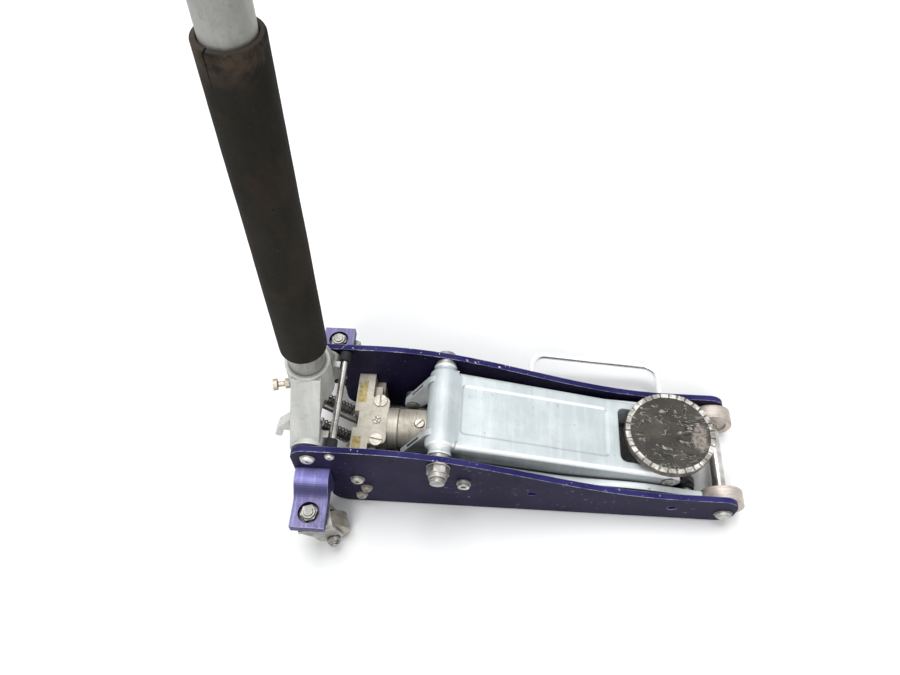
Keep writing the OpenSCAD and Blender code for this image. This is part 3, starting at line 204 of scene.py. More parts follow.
class Shaper(Nodes):
    """A geometry node tree, with its sizes as named inputs."""

    def __init__(self, name, **sizes):
        super().__init__(bpy.data.node_groups.new(name, "GeometryNodeTree"))
        self.sizes = sizes
        for size in sizes:
            self.tree.interface.new_socket(size, in_out="INPUT", socket_type="NodeSocketFloat")
        self.tree.interface.new_socket("Geometry", in_out="OUTPUT", socket_type="NodeSocketGeometry")

    def size(self, name):
        return self.add("NodeGroupInput", out=name)

    def build(self, geometry, material):
        """Runs the tree and gives its result as one mesh."""
        real = self.add("GeometryNodeRealizeInstances", inputs={0: geometry})
        painted = self.add("GeometryNodeSetMaterial", inputs={"Geometry": real, "Material": material})
        self.add("NodeGroupOutput", inputs={0: painted})
        carrier = link(bpy.data.objects.new(self.tree.name, bpy.data.meshes.new(self.tree.name)))
        modifier = carrier.modifiers.new("shape", "NODES")
        modifier.node_group = self.tree
        for item in self.tree.interface.items_tree:
            if item.in_out == "INPUT":
                modifier[item.identifier] = float(self.sizes[item.name])
        bpy.context.view_layer.update()
        made = carrier.evaluated_get(bpy.context.evaluated_depsgraph_get())
        mesh = bpy.data.meshes.new_from_object(made)
        bpy.data.objects.remove(carrier)
        return mesh


def link(thing):
    """Puts an object into the scene."""
    bpy.context.scene.collection.objects.link(thing)
    return thing


def paint(red, green, blue):
    """A colour given as it is seen, from 0 to 255."""
    return tuple(((c / 255 + 0.055) / 1.055) ** 2.4 for c in (red, green, blue)) + (1.0,)


# ---- Camera, light and floor ----

def make_camera():
    """Looks down at the jack from the near side, a little behind its middle."""
    heading = math.radians(-4.446)
    downward = math.radians(56.07)
    roll = math.radians(0.969)
    place = Vector((-0.0450, -0.4073, 0.8699))
    ahead = Vector((math.sin(heading) * math.cos(downward), math.cos(heading) * math.cos(downward),
                    -math.sin(downward)))
    level = Vector((math.cos(heading), -math.sin(heading), 0))
    below = ahead.cross(level)
    right = level * math.cos(roll) + below * math.sin(roll)
    down = below * math.cos(roll) - level * math.sin(roll)
    data = bpy.data.cameras.new("camera")
    data.lens = 30.095
    data.sensor_width = 36
    data.clip_start = 0.01
    camera = link(bpy.data.objects.new("camera", data))
    turn = Matrix((right, -down, -ahead)).transposed()
    camera.matrix_world = Matrix.Translation(place) @ turn.to_4x4()
    bpy.context.scene.camera = camera


def make_lamp(name, place, spread, strength):
    """A soft, even light from the direction of a place, as wide as spread in degrees."""
    data = bpy.data.lights.new(name, "SUN")
    data.energy = strength
    data.angle = math.radians(spread)
    lamp = link(bpy.data.objects.new(name, data))
    turn = Vector(place).to_track_quat("Z", "Y").to_matrix()
    lamp.matrix_world = Matrix.Translation(place) @ turn.to_4x4()


def make_world():
    """White to the eye, in reflections and through glass; a soft grey sky for everything else."""
    world = bpy.data.worlds.new("studio")
    world.use_nodes = True
    nodes = Nodes(world.node_tree)
    seen = nodes.add("ShaderNodeLightPath", out="Is Camera Ray")
    for ray in ("Is Glossy Ray", "Is Transmission Ray"):
        seen = seen | nodes.add("ShaderNodeLightPath", out=ray)
    white = nodes.add("ShaderNodeBackground", inputs={"Color": (1, 1, 1, 1)})
    sky = nodes.add("ShaderNodeBackground", inputs={"Color": (0.94, 0.97, 1.0, 1), "Strength": 0.34})
    both = nodes.add("ShaderNodeMixShader", inputs={0: seen, 1: sky, 2: white})
    nodes.add("ShaderNodeOutputWorld", inputs={"Surface": both})
    bpy.context.scene.world = world


def pale_floor():
    """Plain white, with a painted shadow darkening it close under the jack."""
    f = Finish("pale_floor")
    f.ground(f.noise(3, 3), (0.93, 0.93, 0.93, 1), (0.945, 0.945, 0.945, 1))
    # painted shadow: dark grey where the jack shuts the floor in
    f.lay(f.corners(160 * MM).between(0.72, 0.92), paint(38, 36, 36))
    return f.close(f.add("ShaderNodeBsdfDiffuse", inputs={"Color": f.colour}))


def make_floor():
    """A square floor, wide enough for every view."""
    reach = 4.0
    mesh = bpy.data.meshes.new("floor")
    corners = [(x * reach, y * reach, 0) for x, y in ((-1, -1), (1, -1), (1, 1), (-1, 1))]
    mesh.from_pydata(corners, [], [(0, 1, 2, 3)])
    mesh.materials.append(pale_floor())
    link(bpy.data.objects.new("floor", mesh))


# ---- Finishes ----

def plate_enamel():
    """Indigo enamel on the side plates: dusty on the flats, rubbed to bare metal along the top edges, with
    painted light on the faces that point up, a painted highlight along the edges and painted shade in the
    corners.
    """
    f = Finish("plate_enamel")
    up = f.upward(0.25, 0.75)
    edge = f.edges(1.4 * MM)
    cloud = f.noise(14, 4, 0.6)
    mottle = f.noise(160, 3, 0.6)
    f.ground(cloud.between(0.35, 0.65), paint(18, 13, 40), paint(30, 26, 52))
    f.lay(mottle.between(0.45, 0.75) * 0.4, paint(46, 40, 68))
    # painted shade in the corners
    f.lay(f.corners(9 * MM).between(0.2, 0.8) * 0.8, paint(12, 9, 20))
    # painted light: faces that point up are a lighter blue-violet
    f.lay(up, f.mix(cloud.between(0.35, 0.62), paint(30, 27, 74), paint(50, 47, 102)))
    scratch = f.streaks((30, 400, 420), 3, 0.5, turn=(0, 0.12, 0)).between(0.70, 0.73)
    f.lay(scratch * 0.3, paint(86, 82, 116))
    dirt = f.noise(60, 5, 0.7).between(0.58, 0.72)
    low = 1 - f.height().between(0.0, 50 * MM)
    f.lay(dirt * low * 0.6, paint(58, 46, 44))
    worn = edge.between(0.25, 0.7) * f.noise(55, 5, 0.7).between(0.44, 0.56)
    chip = f.noise(240, 2, 0.5).between(0.67, 0.70) * f.noise(25, 2).between(0.42, 0.6)
    bare = (worn | chip * (0.15 + up * 0.85)) & 1.0
    # painted highlight: a light line along every edge, strongest on faces that point up
    f.lay(edge * (0.3 + 0.65 * up) * (1 - bare), paint(140, 140, 200))
    f.lay(bare, paint(196, 196, 206))
    rough = 0.42 + 0.18 * mottle + 0.1 * dirt - 0.12 * bare
    height = 0.35 * f.noise(420, 2) - 0.25 * scratch - 0.6 * bare
    return f.surface(rough, bare * 0.6, height, 0.25 * MM, 0.8 * MM, **{"Specular IOR Level": 0.09})


def bracket_enamel():
    """Brighter satin enamel on the caster brackets: painted shade on the steep faces and painted light on
    the tops, with a painted sheen on the tops, dirt on the shelf, painted shade in the corners and a painted
    highlight along the edges.
    """
    f = Finish("bracket_enamel")
    up = f.upward(0.62, 0.97)
    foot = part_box("caster_bracket_near")[0].z
    shelf = 1 - f.height().between(foot + 22 * MM, foot + 34 * MM)
    edge = f.edges(1.6 * MM)
    cloud = f.noise(30, 4, 0.6)
    brushed = f.streaks((260, 30, 30), 4, 0.6)
    # painted shade and light: steep faces dark, faces that point up light
    f.ground(up, paint(40, 36, 82), f.mix(shelf, paint(132, 129, 196), paint(112, 106, 150)))
    f.lay(cloud.between(0.4, 0.7) * 0.5, paint(84, 78, 146))
    # brushed grain, lighter only on the faces that point up as a painted sheen
    f.lay(brushed.between(0.45, 0.7) * 0.45 * up, paint(172, 172, 222))
    dirt = f.noise(75, 6, 0.75).between(0.54, 0.68)
    f.lay(dirt * 0.5 * shelf, paint(58, 52, 72))
    speck = f.noise(300, 2).between(0.69, 0.72)
    f.lay(speck * 0.7, paint(60, 52, 90))
    # painted shade in the corners
    f.lay(f.corners(6 * MM).between(0.15, 0.6) * 0.8, paint(34, 28, 50))
    worn = edge.between(0.2, 0.7) * f.noise(70, 5, 0.7).between(0.40, 0.56)
    # painted highlight along every edge
    f.lay(edge * 0.4, paint(160, 158, 214))
    f.lay(worn, paint(196, 198, 222))
    rough = 0.34 + 0.2 * brushed + 0.1 * cloud
    height = 0.5 * brushed + 0.4 * f.noise(380, 2)
    return f.surface(rough, 0.15 + worn * 0.4, height, 0.2 * MM, 1.6 * MM)


def silver_casting(name, base, light, stain, wear, grain, shoulder_highlight=0.0):
    """Silver paint over a sand casting: soft clouding, small pits, edges rubbed bright and lit with a
    painted highlight, a painted highlight on the near shoulder, and painted shade on faces that point down
    and in corners and hollows.
    """
    f = Finish(name)
    edge = f.edges(3.0 * MM)
    cloud = f.noise(16, 5, 0.6)
    fine = f.noise(150, 4, 0.6)
    f.ground(cloud.between(0.35, 0.68), base, light)
    f.lay(fine.between(0.52, 0.8) * 0.35 * wear, stain)
    grime = f.noise(38, 6, 0.75).between(0.60, 0.74)
    f.lay(grime * 0.5 * wear, stain)
    # painted shade: faces that point down are darkened with the stain colour
    down = 1 - f.upward(-0.6, 0.5)
    f.lay(down * 0.45, stain)
    drag = f.streaks((170, 12, 12), 4, 0.6).between(0.45, 0.8)
    f.lay(drag * 0.3, paint(236, 238, 238))
    pit = f.noise(210, 2, 0.5).between(0.735, 0.75)
    f.lay(pit * 0.6, paint(96, 92, 86))
    # edge wear that is also a painted highlight: every edge lightened toward white
    rub = edge * f.noise(60, 4, 0.6).between(0.3, 0.6)
    f.lay(rub * 0.7, paint(244, 247, 247))
    # painted highlight on the rounded shoulder that faces the near side
    if shoulder_highlight:
        sideways, upwards = f.parts(f.facing)[1:]
        shoulder = (0 - sideways).between(0.3, 0.6) * upwards.between(0.1, 0.4) * (1 - fine * 0.3)
        f.lay(shoulder * shoulder_highlight, paint(255, 255, 255))
    # painted shade in small corners and, from the piece's own faces, in its deep hollows
    f.lay(f.corners(4 * MM).between(0.08, 0.45) * 0.65, paint(104, 102, 100))
    f.lay(f.corners(40 * MM, own=True).between(0.7, 0.97) * 0.75, paint(44, 42, 40))
    rough = 0.46 + 0.16 * fine - 0.1 * rub
    height = grain * f.noise(620, 3, 0.6) + 0.8 * cloud - 1.2 * pit
    return f.surface(rough, 0.35 + 0.15 * rub, height, 0.22 * MM, 2.4 * MM)


def block_casting():
    """Cream-zinc cast block, with worn yellow paint along its top's rear ledge."""
    f = Finish("block_casting")
    x, y, _ = f.parts(f.place)
    low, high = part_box("block_plugs")
    plugs_to_rear = 29.3 * MM
    rear = (low.x + high.x) / 2 - plugs_to_rear
    off_centre = y * y
    cloud = f.noise(40, 5, 0.65)
    fine = f.noise(300, 4, 0.6)
    edge = f.edges(1.6 * MM)
    f.ground(cloud.between(0.35, 0.66), paint(190, 183, 170), paint(212, 206, 193))
    f.lay(fine.between(0.5, 0.8) * 0.45, paint(140, 130, 112))
    strip = x.between(rear + 1.5 * MM, rear + 2.5 * MM) * (1 - x.between(rear + 11.5 * MM, rear + 12.5 * MM))
    strip = strip * off_centre.between((22 * MM) ** 2, (23 * MM) ** 2)
    strip = strip * (1 - off_centre.between((53 * MM) ** 2, (54 * MM) ** 2))
    strip = strip * f.upward(0.6, 0.9) * f.noise(120, 5, 0.7).between(0.36, 0.46)
    yellow = f.mix(f.noise(260, 4, 0.7).between(0.45, 0.62), paint(186, 166, 84), paint(140, 120, 58))
    f.lay(strip * 0.85, yellow)
    grime = f.noise(75, 6, 0.75).between(0.56, 0.72)
    f.lay(grime * 0.5, paint(120, 104, 84))
    # painted shade on the faces that point down
    down = 1 - f.upward(-0.5, 0.7)
    f.lay(down * 0.55, paint(96, 86, 72))
    f.lay(edge * 0.4, paint(232, 227, 218))
    # painted shade in the corners and slots
    f.lay(f.corners(5 * MM).between(0.2, 0.7) * 0.8, paint(52, 44, 34))
    height = 0.9 * fine + 0.5 * cloud + 0.5 * strip
    return f.surface(0.48 + 0.2 * fine, 0.2, height, 0.2 * MM, 1.2 * MM)


def turned_steel(name, base, light, dark, rough, metal, axis, grime):
    """Steel with fine lathe marks round an axis, dulled and oily in patches."""
    f = Finish(name)
    stretch = [26, 26, 26]
    stretch[axis] = 900
    lines = f.streaks(stretch, 4, 0.6)
    cloud = f.noise(34, 5, 0.65)
    f.ground(cloud.between(0.35, 0.68), base, light)
    f.lay(lines.between(0.4, 0.75) * 0.4, dark)
    soot = f.noise(60, 6, 0.75).between(0.5, 0.72)
    f.lay(soot * grime, dark)
    f.lay(f.edges(1.2 * MM) * 0.45, light)
    # painted shade in the corners
    f.lay(f.corners(4 * MM).between(0.2, 0.7) * 0.8, paint(36, 32, 28))
    roughness = rough + 0.18 * lines + 0.15 * soot
    return f.surface(roughness, metal - 0.3 * grime * soot, lines + 0.5 * cloud, 0.06 * MM, 0.8 * MM)


def zinc_plating(name, base, dark, light, rust_below=NO_RUST):
    """Bright zinc on screws and nuts, dirty in patches, with painted shade in the corners; rust_below is a
    height that rust rises to.
    """
    f = Finish(name)
    cloud = f.noise(90, 4, 0.6)
    fine = f.noise(500, 3, 0.6)
    f.ground(cloud.between(0.35, 0.66), base, light)
    f.lay(fine.between(0.55, 0.8) * 0.4, dark)
    grime = f.noise(180, 5, 0.75).between(0.55, 0.7)
    f.lay(grime * 0.6, dark)
    f.lay(f.edges(1.0 * MM) * 0.3, paint(232, 232, 230))
    # painted shade in the corners and recesses
    f.lay(f.corners(3.5 * MM).between(0.12, 0.5) * 0.9, paint(34, 31, 30))
    low = 1 - f.height().between(rust_below, rust_below + 4 * MM)
    rust = low * f.noise(140, 5, 0.7).between(0.30, 0.5)
    f.lay(rust * 0.8, f.mix(fine.between(0.35, 0.65), paint(100, 88, 79), paint(160, 149, 138)))
    rough = 0.4 + 0.2 * fine + 0.2 * rust
    return f.surface(rough, 0.75 - 0.5 * rust, fine + 0.6 * cloud, 0.08 * MM, 0.7 * MM)


def dark_casting():
    """Dark grey cast iron of the saddle bracket, greasy and dusty."""
    f = Finish("dark_casting")
    cloud = f.noise(40, 5, 0.65)
    fine = f.noise(420, 3, 0.6)
    f.ground(cloud.between(0.35, 0.68), paint(38, 39, 41), paint(58, 58, 58))
    f.lay(fine.between(0.55, 0.8) * 0.5, paint(78, 74, 70))
    f.lay(f.edges(1.8 * MM) * 0.5, paint(110, 110, 112))
    return f.surface(0.5 + 0.2 * fine, 0.2, fine + cloud, 0.3 * MM, 1.4 * MM)


def chrome():
    """Polished rod with faint hairline marks and a few pin-prick spots."""
    f = Finish("chrome")
    lines = f.streaks((60, 700, 700), 3, 0.6)
    spot = f.noise(500, 2).between(0.72, 0.75)
    f.ground(f.noise(30, 3).between(0.4, 0.7), paint(246, 246, 245), paint(254, 254, 254))
    f.lay(spot * 0.7, paint(140, 130, 116))
    return f.surface(0.2 + 0.1 * lines + 0.3 * spot, 0.8, lines - spot, 0.03 * MM, 0.5 * MM)


def bronze():
    """Sintered bronze of the arm's bushes, grainy, with brighter edges."""
    f = Finish("sintered_bronze")
    fine = f.noise(600, 3, 0.6)
    f.ground(fine.between(0.4, 0.7), paint(150, 112, 60), paint(184, 146, 88))
    f.lay(f.edges(0.8 * MM) * 0.4, paint(206, 176, 120))
    return f.surface(0.36 + 0.2 * fine, 0.8, fine, 0.06 * MM, 0.4 * MM)


def moulded_rubber(name, base, light):
    """Matt black rubber with a dusty bloom."""
    f = Finish(name)
    cloud = f.noise(60, 5, 0.65)
    fine = f.noise(700, 3, 0.6)
    f.ground(cloud.between(0.4, 0.7), base, light)
    f.lay(f.edges(1.2 * MM) * 0.4, light)
    return f.surface(0.7 + 0.2 * fine, 0.0, fine + 0.5 * cloud, 0.1 * MM, 0.8 * MM)


def tube_steel():
    """Silver-painted tube, mottled and scuffed along its length."""
    f = Finish("tube_steel")
    cloud = f.streaks((45, 45, 14), 5, 0.65)
    fine = f.noise(240, 4, 0.65)
    f.ground(cloud.between(0.35, 0.66), paint(134, 134, 129), paint(158, 158, 154))
    f.lay(fine.between(0.5, 0.78) * 0.3, paint(108, 104, 96))
    scuff = f.streaks((160, 160, 38), 5, 0.7, turn=(0.1, 0.2, 0)).between(0.66, 0.72)
    f.lay(scuff * 0.75, paint(70, 68, 66))
    shine = f.streaks((300, 300, 20), 3, 0.6).between(0.66, 0.74)
    f.lay(shine * 0.6, paint(206, 206, 204))
    f.lay(f.edges(0.8 * MM) * 0.5, paint(210, 210, 208))
    return f.surface(0.38 + 0.2 * fine, 0.55, fine + cloud - scuff, 0.06 * MM, 0.5 * MM)


def grip_foam():
    """Closed-cell foam, near black, rubbed brown and grey in patches and round its upper end."""
    f = Finish("grip_foam")
    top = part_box("foam_sleeve")[1].z
    cloud = f.streaks((26, 26, 9), 5, 0.6)
    cell = f.noise(950, 2, 0.6)
    fine = f.noise(230, 4, 0.7)
    f.ground(cloud.between(0.34, 0.68), paint(27, 25, 21), paint(40, 37, 32))
    f.lay(fine.between(0.5, 0.8) * 0.3, paint(58, 53, 45))
    brown = f.noise(22, 4, 0.6).between(0.5, 0.66)
    f.lay(brown * 0.4, paint(52, 40, 32))
    rub = f.height().between(top - 36 * MM, top - 4 * MM) * f.noise(46, 5, 0.65).between(0.40, 0.62)
    f.lay(rub * 0.8, paint(74, 62, 52))
    cut_face = f.upward(0.7, 0.9)
    f.lay(cut_face * 0.8, paint(72, 66, 60))
    scuff = f.streaks((90, 90, 300), 4, 0.7, turn=(0.3, 0.5, 0)).between(0.71, 0.745)
    f.lay(scuff * 0.5, paint(98, 94, 86))
    pit = f.noise(170, 3, 0.6).between(0.70, 0.76)
    f.lay(pit * 0.7, paint(16, 14, 12))
    height = 0.5 * cell + 0.9 * fine + 0.6 * cloud - 1.6 * pit
    return f.surface(0.82 + 0.14 * fine, 0.0, height, 0.35 * MM, 1.0 * MM, **{"Specular IOR Level": 0.15})


def pad_rubber():
    """Hard rubber pad, gouged and cracked, with one patch rubbed pale."""
    f = Finish("pad_rubber")
    cloud = f.noise(30, 5, 0.65)
    fine = f.noise(260, 5, 0.7)
    f.ground(cloud.between(0.35, 0.66), paint(38, 35, 30), paint(68, 63, 55))
    f.lay(fine.between(0.45, 0.75) * 0.6, paint(32, 30, 27))
    flow = f.streaks((26, 44, 26), 3, 0.55, turn=(0, 0, 0.6), twist=2.2)
    crack = 1 - f.fold(flow, 0.5).between(0.006, 0.022)
    crack = crack * f.noise(34, 2).between(0.46, 0.56)
    torn = 1 - f.fold(flow, 0.535).between(0.008, 0.03)
    torn = torn * f.noise(34, 2).between(0.42, 0.52) * fine.between(0.3, 0.55)
    gouge = f.streaks((55, 150, 60), 3, 0.5, turn=(0, 0, 0.7), twist=1.2).between(0.66, 0.71)
    scrape = f.streaks((34, 95, 40), 4, 0.6, turn=(0, 0, -0.5), twist=0.8).between(0.64, 0.68)
    f.lay(gouge * 0.8, paint(158, 152, 140))
    f.lay(scrape * 0.7, paint(128, 124, 114))
    f.lay(torn * 0.85, paint(176, 172, 162))
    f.lay(crack * 0.9, paint(18, 17, 15))
    fleck = f.noise(330, 2).between(0.71, 0.74)
    f.lay(fleck * 0.3, paint(168, 104, 90))
    low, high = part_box("saddle_pad")
    patch_middle = (low + high) / 2 + Vector((34 * MM, -5 * MM, 0))
    squeeze = Vector((1.45, 0.85, 1))
    from_patch = f.mapped(scale=squeeze, shift=-squeeze * patch_middle)
    away = f.add("ShaderNodeVectorMath", {"operation": "LENGTH"}, {0: from_patch}, out="Value")
    outside = (away + 22 * MM * f.noise(70, 4, 0.7)).between(21 * MM, 27 * MM)
    pale = f.mix(fine.between(0.35, 0.65), paint(104, 95, 90), paint(178, 166, 158))
    f.lay((1 - outside) * 0.8, pale)
    height = 0.8 * cloud + 0.6 * fine - 1.4 * crack + 0.9 * torn + 0.8 * gouge
    return f.surface(0.6 + 0.2 * fine - 0.2 * gouge, 0.0, height, 0.9 * MM, 0.8 * MM)


def saddle_metal(name, base, light):
    """Bare, battered metal of the saddle."""
    f = Finish(name)
    cloud = f.noise(60, 5, 0.65)
    fine = f.noise(400, 4, 0.65)
    f.ground(cloud.between(0.42, 0.58), base, light)
    f.lay(fine.between(0.5, 0.8) * 0.6, paint(80, 72, 64))
    dent = f.noise(130, 4, 0.7).between(0.55, 0.68)
    f.lay(dent * 0.5, paint(66, 60, 54))
    f.lay(f.edges(1.2 * MM) * 0.35, light)
    return f.surface(0.4 + 0.2 * fine, 0.4, fine + cloud - dent, 0.3 * MM, 0.8 * MM)


def worn_wheel(name, base, light, stain):
    """Steel wheel, its rolling face rubbed and rust-stained."""
    f = Finish(name)
    cloud = f.noise(50, 5, 0.65)
    fine = f.noise(300, 4, 0.65)
    rolled = f.streaks((40, 500, 40), 3, 0.6)
    f.ground(cloud.between(0.36, 0.66), base, light)
    f.lay(rolled.between(0.45, 0.75) * 0.4, stain)
    f.lay(fine.between(0.55, 0.75) * 0.5, stain)
    f.lay(f.edges(1.5 * MM) * 0.5, light)
    return f.surface(0.45 + 0.2 * fine, 0.4, fine + rolled, 0.15 * MM, 1.0 * MM)


# ---- Shapes ----

def solids(node):
    """Low and high corners of each separate solid in a CAD node."""
    work = bmesh.new()
    work.from_mesh(NODES[node].data)
    bmesh.ops.remove_doubles(work, verts=work.verts, dist=TOUCHING)
    found = []
    seen = set()
    for first in work.verts:
        if first in seen:
            continue
        group = [first]
        seen.add(first)
        for vertex in group:
            for edge in vertex.link_edges:
                other = edge.other_vert(vertex)
                if other not in seen:
                    seen.add(other)
                    group.append(other)
        low = Vector([min(v.co[axis] for v in group) for axis in range(3)])
        high = Vector([max(v.co[axis] for v in group) for axis in range(3)])
        found.append((low, high))
    work.free()
    return found


def as_mesh(name, work, material):
    """Ends work on a mesh and gives it its material."""
    mesh = bpy.data.meshes.new(name)
    work.to_mesh(mesh)
    work.free()
    mesh.materials.append(material)
    mesh.shade_smooth()
    return mesh


def as_piece(name, mesh, body, crease=32):
    """Makes a mesh into a piece that rides a body, with sharp edges where faces turn by crease degrees."""
    mesh.set_sharp_from_angle(angle=math.radians(crease))
    piece = link(bpy.data.objects.new(name, mesh))
    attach(piece, body)
    return piece


def circle(radius):
    """A round outline."""
    return lambda angle: radius


def hexagon(across, limit=1.0):
    """A hexagon's outline, with its corners cut back to a circle of limit times the corner radius."""
    corner = across / math.sqrt(3)
    side = math.pi / 3

    def radius(angle):
        off_middle = (angle + side / 2) % side - side / 2
        return min(across / 2 / math.cos(off_middle), corner * limit)
    return radius


def add_turning(work, foot, outward, rings, turn=0.0):
    """Adds a closed stack of rings to a mesh: each has its height above the foot and its outline."""
    around = 48
    upright = outward.to_track_quat("Z", "Y").to_matrix()
    rows = []
    for height, radius in rings:
        row = []
        for step in range(around):
            angle = 2 * math.pi * step / around
            reach = radius(angle)
            spot = Vector((reach * math.cos(angle + turn), reach * math.sin(angle + turn), height))
            row.append(work.verts.new(foot + upright @ spot))
        rows.append(row)
    for lower, upper in zip(rows, rows[1:]):
        for step in range(around):
            after = (step + 1) % around
            work.faces.new((lower[step], lower[after], upper[after], upper[step]))
    for row, height, backwards in ((rows[0], rings[0][0], True), (rows[-1], rings[-1][0], False)):
        middle = work.verts.new(foot + upright @ Vector((0, 0, height)))
        for step in range(around):
            pair = (row[step], row[(step + 1) % around])
            work.faces.new((middle, *(reversed(pair) if backwards else pair)))


def washer_rings(radius, thick):
    """Flat washer with its outer edge chamfered; the wall and the chamfer are shares of the thickness."""
    wall = 0.75
    chamfer = 0.3
    return [(0, circle(radius)), (thick * wall, circle(radius)), (thick, circle(radius - thick * chamfer))]


def dome_rings(radius, height, recess):
    """Button head with a rounded top and a hexagonal recess; its shape is in shares of its sizes."""
    foot = 0.97
    rim = 0.12
    crown = 1 - rim
    narrowing = 0.42
    steps = 6
    rings = [(0, circle(radius * foot)), (height * rim, circle(radius))]
    for step in range(1, steps + 1):
        rise = step / steps * math.pi / 2
        rings.append((height * (rim + crown * math.sin(rise)),
                      circle(radius * (1 - narrowing * (1 - math.cos(rise))))))
    mouth = 1.12
    wall_top = 0.94
    wall_foot = 0.45
    point_depth = 0.36
    point = 0.3
    return rings + [(height, hexagon(recess * mouth)), (height * wall_top, hexagon(recess)),
                    (height * wall_foot, hexagon(recess)), (height * point_depth, circle(recess * point))]


def nut_rings(across, start, thick):
    """Hexagon with both ends chamfered: each ring is a share of the thickness and of the corner radius."""
    lower = [(0.0, 0.93), (0.05, 0.97), (0.10, 1.0)]
    upper = [(0.88, 1.0), (0.93, 0.96), (0.97, 0.91), (1.0, 0.865)]
    return [(start + thick * part, hexagon(across, limit)) for part, limit in lower + upper]


def collar_rings(outer, bore, start, height, end):
    """Rounded collar of a locking nut, in shares of its sizes, with the bolt's chamfered end in it."""
    top = start + height
    ring = start + height * 0.7
    collar = [(start, outer), (start + height * 0.55, outer), (start + height * 0.85, outer * 0.96),
              (top, outer * 0.88), (top, bore * 1.04), (ring, bore * 1.02)]
    threads = 4
    flank = 0.2 * MM
    thread_depth = 0.35 * MM
    chamfer = 0.8 * MM
    shoulder_depth = 0.2 * MM
    tip_depth = 1.1 * MM
    bolt = [(ring, bore)]
    for step in range(1, threads + 1):
        crest = ring + (end - ring) * step / (threads + 1)
        bolt += [(crest - flank, bore), (crest, bore - thread_depth)]
    bolt += [(end - chamfer, bore - shoulder_depth), (end, bore - tip_depth)]
    return [(level, circle(radius)) for level, radius in collar + bolt]


def side_faces(node):
    """Middle, radius, side (1 far, -1 near) and outermost reach of each fastener on the plates."""
    for low, high in solids(node):
        side = 1 if low.y + high.y > 0 else -1
        middle = Vector(((low.x + high.x) / 2, 0, (low.z + high.z) / 2))
        yield middle, (high.x - low.x) / 2, side, max(abs(low.y), abs(high.y))


def button_heads(name, node, material, recess=0.52):
    """Domed socket-head screws with washers on the plates' outer faces, each turned its own way."""
    washer = 1.0 * MM
    head_share = 0.9
    work = bmesh.new()
    for middle, radius, side, outer in side_faces(node):
        outward = Vector((0, side, 0))
        foot = middle + outward * PLATE_FACE
        add_turning(work, foot, outward, washer_rings(radius, washer), turn=middle.x * 50)
        head = dome_rings(radius * head_share, outer - PLATE_FACE - washer, radius * recess)
        add_turning(work, foot + outward * washer, outward, head, turn=middle.x * 90)
    piece = as_piece(name, as_mesh(name, work, material), "frame")
    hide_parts(node)


def locking_nuts(name, node, material, across, washer_radius, turn):
    """Locking nuts with washers on the plates' outer faces."""
    washer = 1.8 * MM
    work = bmesh.new()
    for middle, _, side, outer in side_faces(node):
        outward = Vector((0, side, 0))
        foot = middle + outward * PLATE_FACE
        rise = outer - PLATE_FACE
        nut_height = rise * 0.48
        collar_height = rise * 0.26
        collar_radius = across * 0.48
        bolt_radius = across * 0.4
        add_turning(work, foot, outward, washer_rings(washer_radius, washer))
        collar = collar_rings(collar_radius, bolt_radius, washer + nut_height, collar_height, rise)
        add_turning(work, foot, outward, nut_rings(across, washer, nut_height) + collar, turn=turn)
    piece = as_piece(name, as_mesh(name, work, material), "frame")
    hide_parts(node)


# ---- Foam sleeve ----

def handle_axis():
    """Lower and upper end of the foam's axis, taken from the two ends of the CAD sleeve."""
    spots = [vertex.co for vertex in NODES["foam_sleeve"].data.vertices]
    low = min(spot.z for spot in spots)
    high = max(spot.z for spot in spots)
    end_depth = 4 * MM
    ends = []
    for level in (low, high):
        ring = [spot for spot in spots if abs(spot.z - level) < end_depth]
        ends.append(Vector([(min(spot[axis] for spot in ring) + max(spot[axis] for spot in ring)) / 2
                            for axis in range(3)]))
    return ends


